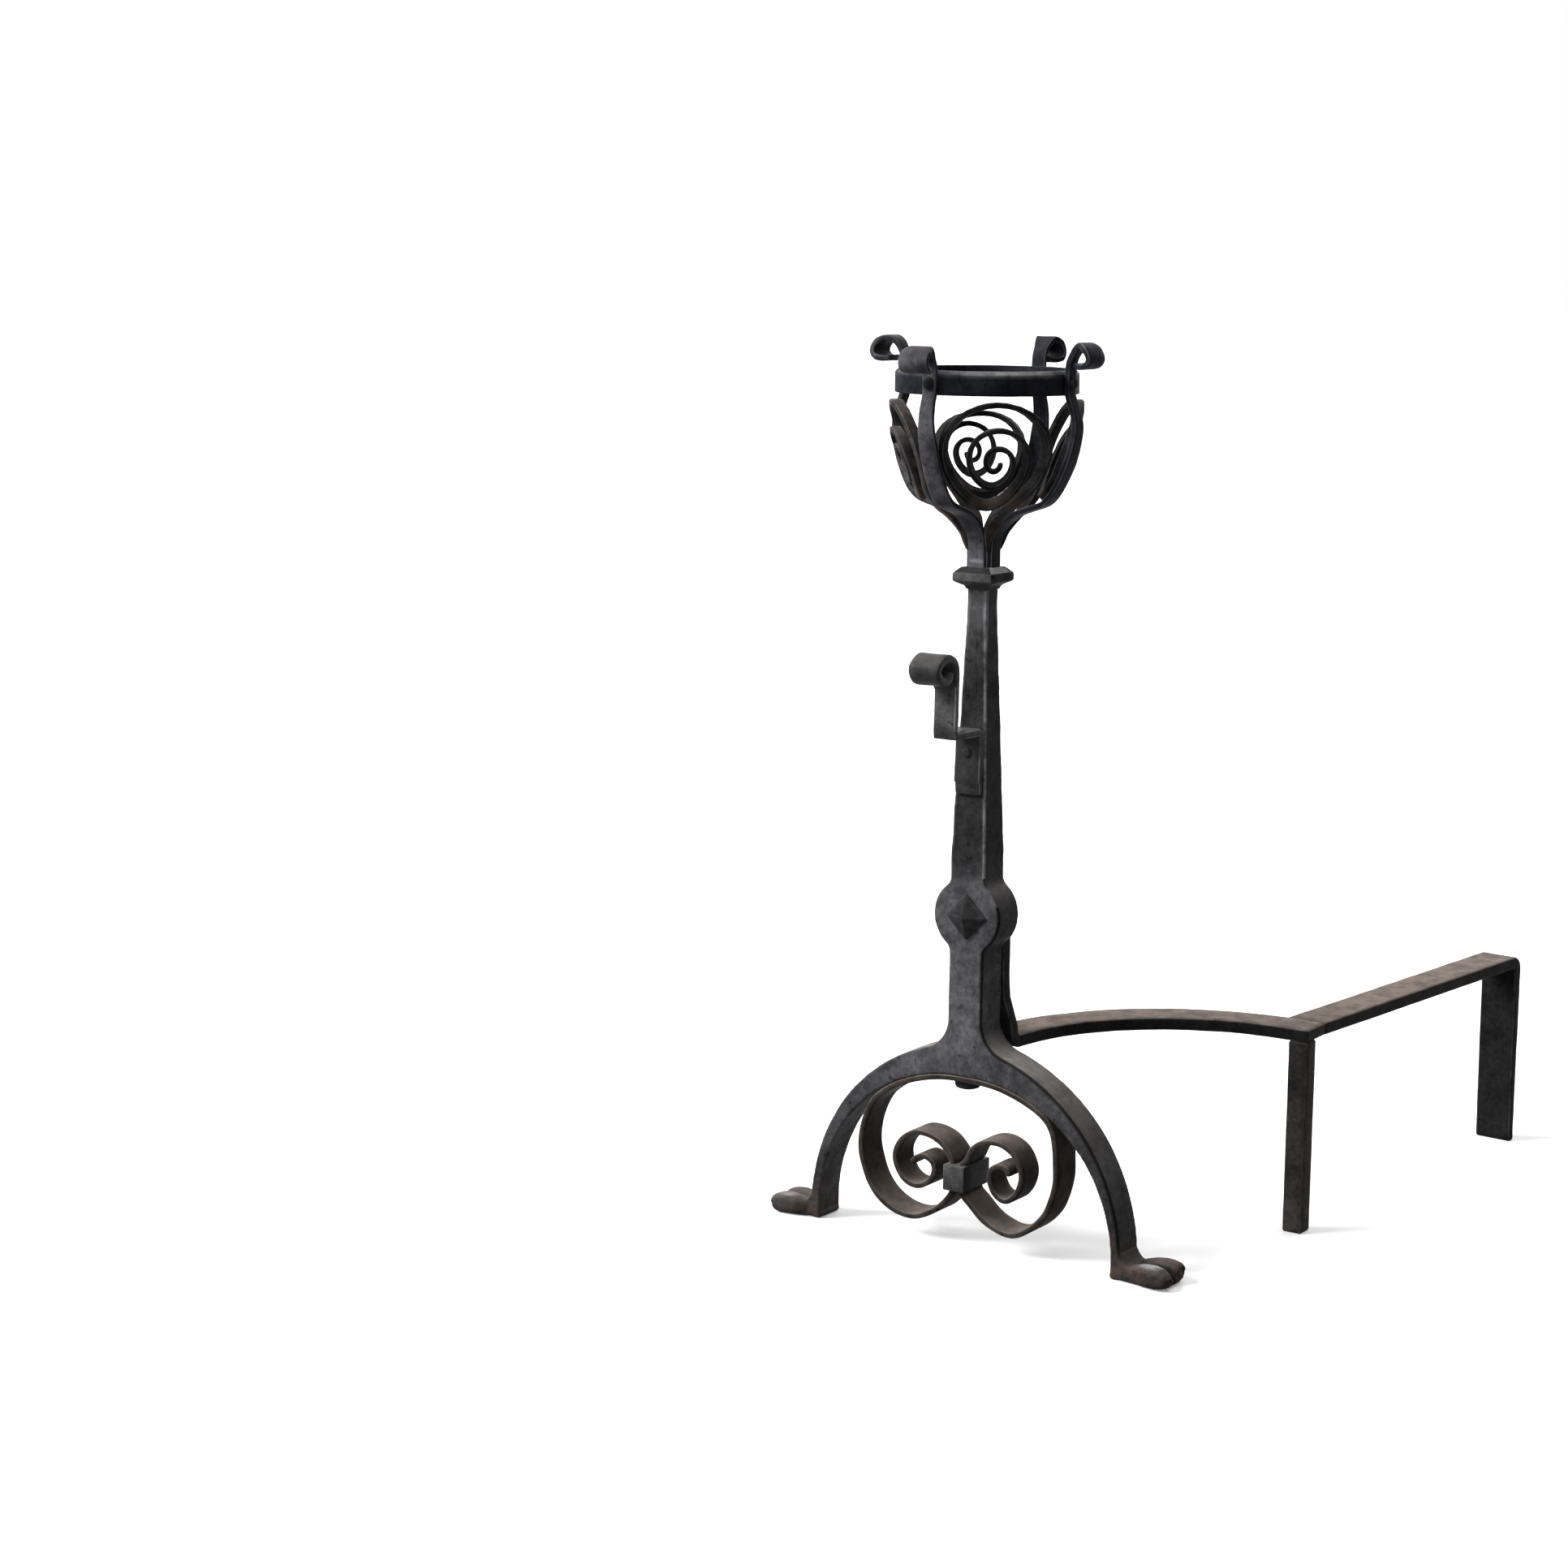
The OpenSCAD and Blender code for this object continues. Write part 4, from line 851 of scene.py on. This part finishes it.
def hookStations():
    h = hook
    t = h["thick"] / 2
    low, full = h["topZ"] - h["plateLong"], h["thick"]
    lowFace = -shaftHalf(low) - h["gap"] - t
    face = -shaftHalf(h["topZ"]) - h["gap"] - t
    upY = face - h["reach"] + t
    midZ = h["topZ"] - t
    rollTop = h["topZ"] + h["rise"] - t
    rollLow = rollTop - h["rollHigh"] + h["thick"]
    rollFront = upY - h["rollLong"] + h["thick"]
    rollY, rollZ = (upY + rollFront) / 2, (rollTop + rollLow) / 2
    plate, neck = h["plateWide"] / 2, h["neckWide"] / 2
    right = neck + 0.4
    left = right - h["rollWide"]
    # y, z, half width, and thickness where it isn't the full one
    rows = [(y, z, -half, half, *(thick or [full])) for y, z, half, *thick in [
        (lowFace + 1, low, plate, full - 2), (lowFace + 0.7, low + 4, plate, full - 1.4),
        (lowFace + 0.6, low + 6.8, plate, full - 1.2), (lowFace, low + 7.8, plate),
        *[(lowFace + (face - lowFace) * i / 6, low + 8 + 4.6 * i, plate) for i in range(1, 7)],
        (face - 0.2, midZ - 1.6, plate), (face - 0.9, midZ - 0.7, plate), (face - 2.2, midZ, plate),
        (face - 9, midZ, plate - 0.4), (face - 16, midZ, neck + 0.5), (upY + 3.4, midZ, neck + 0.3),
        (upY + 0.5, midZ + 0.5, neck + 0.2, 1.26 * full),  # a sharp bend upward
        (upY, midZ + 3.4, neck), (upY + 0.2, midZ + 7, neck), (upY + 0.4, midZ + 13, neck),
        (upY + 0.5, midZ + 18, neck), (upY + 0.6, rollLow - 6, neck)]]
    # y, z, left and right edge, thickness
    curl = [rows[-1]] + [(y, z, left, right, full) for y, z in [
        (upY, rollZ - 2), (upY - 2.6, rollTop - 3), (rollY, rollTop), (rollFront + 2.4, rollTop - 3.4),
        (rollFront, rollZ), (rollFront + 3, rollLow + 2), (rollY - 2, rollLow),
        (rollY + 2.6, rollLow + 1.8)]]
    rows += smoothPath(curl + [(rollY + 4, rollLow + 5.4, left, right, full - 1)], 6)[1:]
    return stationsAlong([
        (Vector(((left + right) / 2, y, z)), right - left, thick)
        for y, z, left, right, thick in rows], xAxis)


hookPiece = drawOut("hookStrip", hookStations(), 1, columns=4)
hammer(hookPiece, (0.45, 9))
hookWorn = hookPiece.data.attributes["arris"]
for v in hookPiece.data.vertices:
    # painted shade on the arrises of the roll, and painted highlight on the right of its neck with two
    # painted glints
    lift = v.co.z / mm - hook["topZ"]
    if lift > hook["rise"] - hook["rollHigh"] - 1:
        hookWorn.data[v.index].value *= -hook["rollDark"]
    elif lift > 2 and v.co.x > 0:
        glint = min(abs(lift - at) / half for at, half in hook["glints"])
        hookWorn.data[v.index].value *= hook["rubbed"] + hook["glint"] * max(0, 1 - glint)
finishPiece(hookPiece, iron["hook"], "strip_iron", "spit_hook")

rivetZ = hook["topZ"] - hook["rivetDrop"]
rivetFront = -shaftHalf(rivetZ) - hook["thick"] - 2 * hook["gap"]
hookRivet = joinPieces("hookRivetHeads", [
    domedHead("hookRivetFront", Vector((0, rivetFront, rivetZ)), -yAxis, hook["headR"], hook["headHigh"]),
    domedHead(
        "hookRivetBack", Vector((0, shaftHalf(rivetZ) + 0.4, rivetZ)), yAxis, hook["backR"],
        hook["backHigh"])])
finishPiece(hookRivet, iron["rivet"], "rivet_iron", "hook_rivet")


# Collar: square moulded ring round the feet of the straps

collar = {
    "wide": 26.6, "rimHigh": 4.6, "underShare": 0.65, "topBevel": 3.6, "lowBevel": 3, "cove": 2,
    # the upper bevel takes painted highlight on the right and painted shade in front
    "eased": 0.7, "neckOver": 1.5, "coveIn": 0.8, "mouthOver": 4.3, "rubbed": 4, "rubFade": 1.5,
    "black": 0.6}


def collarPiece():
    c = collar
    rimLow = shoulder - c["rimHigh"] * c["underShare"]
    neck = standard["topWide"] / 2 + c["neckOver"]
    levels = [
        (rimLow - c["lowBevel"] - c["cove"], neck - c["coveIn"]), (rimLow - c["lowBevel"], neck),
        (rimLow, c["wide"] / 2), (rimLow + c["rimHigh"], c["wide"] / 2),
        (rimLow + c["rimHigh"] + c["topBevel"], standard["tangWide"] / 2 + c["mouthOver"])]
    piece = startPiece(
        "collarMoulding", bpy.ops.mesh.primitive_plane_add, size=2 * levels[0][1] * mm,
        location=(0, 0, levels[0][0] * mm))
    for (z0, half0), (z1, half1) in zip(levels, levels[1:]):
        extrudeBy(0, 0, (z1 - z0) * mm)
        bpy.ops.transform.resize(value=(half1 / half0, half1 / half0, 1))
    onAll(bpy.ops.mesh.bevel, offset=c["eased"] * mm, segments=2, affect="EDGES")
    bpy.ops.mesh.subdivide(number_cuts=3)
    endEditing()
    return piece


def collarArris(place):
    # its upper bevel: painted highlight on the right and painted shade in front
    level = shoulder + (1 - collar["underShare"]) * collar["rimHigh"]
    if place.z < level + 0.4:
        return 0
    if place.x > abs(place.y):
        return collar["rubbed"] * min(1, (place.x - abs(place.y)) / collar["rubFade"])
    return -collar["black"] if place.y < 0 else 0


collarForging = collarPiece()
hammer(collarForging, (0.4, 7))
markArris(collarForging, collarArris)
finishPiece(collarForging, iron["collar"], "forged_iron", "collar", angle=35)


# Basket: four straps, a ring riveted inside them, four rosettes between them

basket = {
    "thick": 3.2, "rootWide": 10.6, "footWide": 12, "bellyWide": 11.6, "neckWide": 8.6, "rollWide": 19,
    "ringR": 53.5, "ringThick": 4, "ringHigh": 14, "ringLift": 106.3, "ringBevel": 2.2, "ringEased": 0.5,
    # the ring's bevelled upper edge takes a painted highlight
    "ringSteps": 150, "ringRubbed": 0.9, "bellyR": 62, "bellyLift": 83, "floorLift": 38.5,
    "rollReach": 22, "rollRise": 18, "gap": 0.1, "headR": 3.5, "headHigh": 2.6, "arris": 0.8,
    # a painted highlight line on the front of each strap, just over the collar
    "lipLift": 9.6, "lipHalf": 1.1, "lipY": -8.5, "lipRubbed": 1.8}
strapMakes = keyed(
    "name node turn lean slim short drop look",
    ("strapFront", "strap_front", -90, -4.8, 0, 0.15, 4, "strap"),
    # the right and back straps take the ring's darker iron as painted shade
    ("strapRight", "strap_right", 0, 0, 2, 3, 1.5, "ring"),
    ("strapBack", "strap_back", 90, -2.9, 0, 3.5, 0.5, "ring"),
    ("strapLeft", "strap_left", 180, 0, 0, 0, 0, "strap"))
ringLow = shoulder + basket["ringLift"]
ringTop = ringLow + basket["ringHigh"]
bellyZ = shoulder + basket["bellyLift"]
floorZ = shoulder + basket["floorLift"]
strapRingR = basket["ringR"] + basket["gap"] + basket["thick"] / 2


def strapStations(make):
    b, ringR = basket, strapRingR
    t = b["thick"] / 2
    root = standard["tangWide"] / 2 + b["gap"] + t
    belly = b["bellyR"] - t
    slim = make["slim"]
    outR = b["ringR"] + b["rollReach"] - make["short"]
    topZ = ringTop + b["rollRise"] - make["drop"]
    # distance from the shaft's axis and height: a bowl from the collar to the ring, then a rolled end
    bowl = [(root, shoulder + lift) for lift in (0.1, 4, 7.6, 8.8)] + smoothPath([
        (root, shoulder + 11), (root + 0.3, shoulder + 16.5), (root + 1.4, floorZ - 15.7),
        (root + 4.4, floorZ - 10.5), (root + 10, floorZ - 4.8), (root + 16.3, floorZ - 1),
        (belly - 28.9, floorZ + 2), (belly - 19.6 - slim / 2, floorZ + 4.9),
        (belly - 13.5 - slim, floorZ + 9.1), (belly - 8.6 - slim, floorZ + 16.3),
        (belly - 4.4 - slim * 0.7, floorZ + 26),
        (belly - 1.6 - slim * 0.4, bellyZ - 8.7), (belly, bellyZ + 3), (belly - 1, bellyZ + 12),
        (ringR + 1.2, ringLow - 3), (ringR, ringLow + 1)], 5)
    curl = smoothPath([
        (ringR, ringTop - 1), (ringR + 0.8, topZ - 11), (ringR + 4.6, topZ - 4.4),
        ((ringR + outR) / 2, topZ - t), (outR - 4.4, topZ - 4), (outR - t, topZ - 9),
        (outR - 3.6, topZ - 12.8), (outR - 8.4, topZ - 14), (outR - 12.2, topZ - 13.2)], 6)
    wideByZ = [
        (shoulder + 15, b["rootWide"]), (floorZ - 10, b["footWide"]), (floorZ, b["footWide"]),
        (bellyZ - 8, b["bellyWide"]), (ringLow - 4, b["neckWide"])]
    leanByZ = [(floorZ, 0), (bellyZ - 8, 0.5 * make["lean"]), (ringLow - 4, make["lean"])]
    wideByR = [
        (ringR + 2.4, b["neckWide"] + 0.4), ((ringR + outR) / 2, (b["neckWide"] + b["rollWide"]) / 2),
        (outR - 4.4, b["rollWide"])]
    radial, side = spoke(make["turn"])
    rows = [(r, z, between(z, leanByZ), between(z, wideByZ)) for r, z in bowl]
    rows += [(r, z, make["lean"], between(r, wideByR)) for r, z in curl]
    return stationsAlong([
        (radial * r + side * lean + zAxis * z, wide, b["thick"]) for r, z, lean, wide in rows], side)


for make in strapMakes:
    strap = drawOut(make["name"], strapStations(make), basket["arris"])
    hammer(strap, (0.45, 9))
    strapWorn = strap.data.attributes["arris"]
    for v in strap.data.vertices:
        # a painted highlight line on the front of the strap, just over the collar
        fromLip = abs(v.co.z / mm - shoulder - basket["lipLift"])
        if fromLip < basket["lipHalf"] and v.co.y / mm < basket["lipY"]:
            strapWorn.data[v.index].value = basket["lipRubbed"]
    finishPiece(strap, iron[make["look"]], "basket_iron", make["node"])


def ringPiece():
    # the ring's section is drawn as a plane, left as a loop of edges and spun round the shaft's axis
    b = basket
    middleR, middleZ = (b["ringR"] - b["ringThick"] + b["ringR"]) / 2 * mm, (ringLow + ringTop) / 2 * mm
    ring = startPiece(
        "basketRing", bpy.ops.mesh.primitive_plane_add, (b["ringThick"] * mm, b["ringHigh"] * mm, 1), 90,
        size=1, location=(middleR, 0, middleZ))
    mesh = bmesh.from_edit_mesh(ring.data)
    for v in mesh.verts:
        v.select_set(v.co.z > middleZ and v.co.x > middleR)
    mesh.select_flush_mode()
    bmesh.update_edit_mesh(ring.data)
    bpy.ops.mesh.bevel(offset=b["ringBevel"] * mm, segments=1, affect="VERTICES")
    onAll(bpy.ops.mesh.bevel, offset=b["ringEased"] * mm, segments=2, affect="VERTICES")
    onAll(bpy.ops.mesh.delete, type="ONLY_FACE")
    mesh = bmesh.from_edit_mesh(ring.data)
    for e in mesh.edges:
        e.select_set(e.calc_length() > 1.5 * mm)
    bmesh.update_edit_mesh(ring.data)
    bpy.ops.mesh.subdivide(number_cuts=5)
    onAll(bpy.ops.mesh.spin, steps=b["ringSteps"], angle=math.tau, center=(0, 0, 0), axis=(0, 0, 1),
          use_auto_merge=True)
    onAll(bpy.ops.mesh.remove_doubles, threshold=0.02 * mm)
    bpy.ops.mesh.delete_loose()
    endEditing()
    return ring


def ringArris(place):
    # painted highlight along its bevelled upper edge
    away = basket["ringR"] - math.hypot(place.x, place.y) + ringTop - place.z
    return max(0, 1 - abs(away - basket["ringBevel"]) / basket["ringRubbed"])


ringForging = ringPiece()
hammer(ringForging, (0.3, 12))
markArris(ringForging, ringArris)
finishPiece(ringForging, iron["ring"], "basket_iron", "basket_ring", angle=35)

heads = []
for make in strapMakes:
    radial, side = spoke(make["turn"])
    place = radial * (strapRingR + basket["thick"] / 2) + side * make["lean"]
    place.z = (ringLow + ringTop) / 2
    heads.append(domedHead("ringRivet", place, radial, basket["headR"], basket["headHigh"]))
ringRivets = joinPieces("ringRivetHeads", heads)
finishPiece(ringRivets, iron["rivet"], "rivet_iron", "ring_rivets")
print("basket made")


# Rosettes: a bar that rises between the straps and winds into a spiral on the basket's wall

rosette = {"eyeLift": 68.5, "deep": 7, "thick": 3.2, "tip": 2.8, "wallR": 54.1, "arris": 0.55}
rosetteMakes = keyed(
    "name node eye size outer look",
    ("rosetteFrontRight", "rosette_front_right", -5.1, 1, (35.4, 33, 33), "rosette"),
    ("rosetteBackRight", "rosette_back_right", -3.5, 0.92, (35.4, 35.5, 33), "rosette"),
    ("rosetteBackLeft", "rosette_back_left", -2.6, 0.92, (26, 24.5, 37), "rosette"),
    # the front-left rosette takes the paler copy of the iron as painted light
    ("rosetteFrontLeft", "rosette_front_left", -3, 0.9, (35.4, 36, 33), "paleRosette"))
# quarter turns left to the eye, and distance from it
spiralRows = [
    (8, 24.6), (7, 21), (6, 18.6), (5, 16.2), (4, 13.4), (3, 11.4), (2, 8), (1, 6), (0, 4.7), (-1, 3.2)]
# share of the turn to the spiral's side, distance from the axis, lift, depth and thickness
stemRows = [
    (0, 9.4, 15.5, 2.2, 2), (0, 11.1, 20, 2.8, 3), (0, 13.2, 25.4, 3, 5), (0.13, 17.4, 31, 3, 7.4),
    (0.3, 22.4, 36, 3.2, 8), (0.47, 28.4, 40.4, 3.8, 7), (0.62, 34.4, 45.6, 4.8, 5.4),
    (0.78, 39.6, 51.4, 6, 4), (0.92, 43.8, 57.6, 6.8, 3.2)]
# distance from the axis, and dip of the outward direction in degrees, by lift
wallTable = [
    (24, 11), (33, 18), (39.5, 26), (43, 31), (47, 36), (53, 40.4), (58, 43.6), (64, 46.6), (70.5, 49.7),
    (79, 52.3), (88, 53.7), (104, 53.1)]
dipTable = [(24, 25), (38, 62), (46, 46), (56, 32), (70, 18), (84, 2), (104, 0)]


def strapTurn(number):
    make = strapMakes[number % 4]
    around = 360 if number > 3 else 0
    return make["turn"] + around + math.degrees(math.atan2(make["lean"], strapRingR))


def rosetteStations(number, make):
    r = rosette
    bay = (strapTurn(number) + strapTurn(number + 1)) / 2
    rows = []

    def add(turn, distance, lift, deep, thick):
        c, s = cosSin(bay + turn)
        level, fall = cosSin(between(lift, dipTable))
        rows.append((Vector((distance * c, distance * s, shoulder + lift)), thick, deep,
                     Vector((level * c, level * s, -fall))))

    perMm = math.degrees(1 / r["wallR"])
    sideTurn = (make["eye"] + make["outer"][0] * make["size"]) * perMm
    for share, distance, lift, deep, thick in smoothPath(stemRows, 4):
        add(share * sideTurn, distance, lift, deep, thick)
    spiral = [(11 - i, away) for i, away in enumerate(make["outer"])] + spiralRows
    for quarter, away in smoothPath(spiral, 9):
        c, s = cosSin(90 * (11 - quarter))
        reach = away * make["size"]
        lift = r["eyeLift"] + reach * s
        grow = rampUp(quarter / 8)
        deep, thick = (r["tip"] + (r[size] - r["tip"]) * grow for size in ("deep", "thick"))
        add((make["eye"] + reach * c) * perMm, between(lift, wallTable), lift, deep, thick)
    return stationsAlong(rows)


for number, make in enumerate(rosetteMakes):
    piece = drawOut(make["name"], rosetteStations(number, make), rosette["arris"], columns=1, rows=2)
    hammer(piece, (0.3, 7))
    finishPiece(piece, iron[make["look"]], "rosette_iron", make["node"])
print("rosettes made")


# Floor, light and camera

studio = {"shade": 0.12, "floorTone": 0.9, "floorGlow": 0.2, "floorZ": -0.2, "floorSize": 60}


def seenRays(made):
    # 1 for what the camera sees straight, mirrored or through glass
    seen = made("LightPath", "Is Camera Ray", {})
    for ray in ("Is Glossy Ray", "Is Transmission Ray"):
        seen = made("Math", 0, {0: seen, 1: made("LightPath", ray, {})}, operation="MAXIMUM")
    return seen


def floorMaterial():
    # pale where it is seen, dark in the light that it throws back
    material = bpy.data.materials.new("paleFloor")
    material.use_nodes = True
    tree = material.node_tree
    made = nodeMaker(tree)
    tones = {6: (studio["shade"],) * 3, 7: (studio["floorTone"],) * 3}
    straight = made("LightPath", "Is Camera Ray", {})
    fill(tree, tree.nodes["Principled BSDF"], {
        "Roughness": 0.9, "Specular IOR Level": 0.1, "Emission Color": (1, 1, 1),
        "Base Color": made("Mix", 2, {0: seenRays(made), **tones}, data_type="RGBA"),
        "Emission Strength": made(
            "Math", 0, {0: straight, 1: studio["floorGlow"]}, operation="MULTIPLY")})
    return material


deselectAll()
bpy.ops.mesh.primitive_plane_add(size=studio["floorSize"], location=(0, 0, studio["floorZ"] * mm))
floor = bpy.context.object
floor.name = "floor"
floor.data.materials.append(floorMaterial())

world = bpy.data.worlds.new("studio")
bpy.context.scene.world = world
world.use_nodes = True
sky = world.node_tree
made = nodeMaker(sky)
fill(sky, sky.nodes["Background"], {"Color": (1, 1, 1), "Strength": made("MapRange", "Result", {
    "Value": seenRays(made), "To Min": studio["shade"], "To Max": 1})})

lamps = keyed(
    "name from strength spread",
    ("key", (-0.62, -0.5, 0.6), 5.2, 30), ("fill", (0.25, -0.9, 0.35), 0.5, 40),
    ("back", (-0.15, 0.93, 0.33), 1.5, 50), ("top", (0.1, 0.25, 0.96), 1.3, 60))
for lamp in lamps:
    bpy.ops.object.light_add(type="SUN", location=(0, 0, 2))
    light = bpy.context.object
    light.name = lamp["name"]
    light.data.energy = lamp["strength"]
    light.data.angle = math.radians(lamp["spread"])
    light.rotation_euler = Vector(lamp["from"]).to_track_quat("Z", "Y").to_euler()

view = {"place": (0.96534, -1.63394, 0.59586), "yaw": 34.06, "down": 9.44, "roll": 0.579, "lens": 74.5}
bpy.ops.object.camera_add()
camera = bpy.context.object
camera.name = "photoCamera"
camera.data.lens = view["lens"]
camera.data.sensor_width = 36
camera.data.clip_end = 100
(yawC, yawS), (downC, downS), (rollC, rollS) = (cosSin(view[k]) for k in ("yaw", "down", "roll"))
forward = Vector((-yawS * downC, yawC * downC, -downS))
sideways = Vector((yawC, yawS, 0))
upright = sideways.cross(forward)
rightward = sideways * rollC + upright * rollS
upward = upright * rollC - sideways * rollS
facing = Matrix((rightward, upward, -forward)).transposed().to_4x4()
camera.matrix_world = Matrix.Translation(view["place"]) @ facing
bpy.context.scene.camera = camera
bpy.context.scene.view_settings.view_transform = "Standard"
print("stage, lamps and camera set")
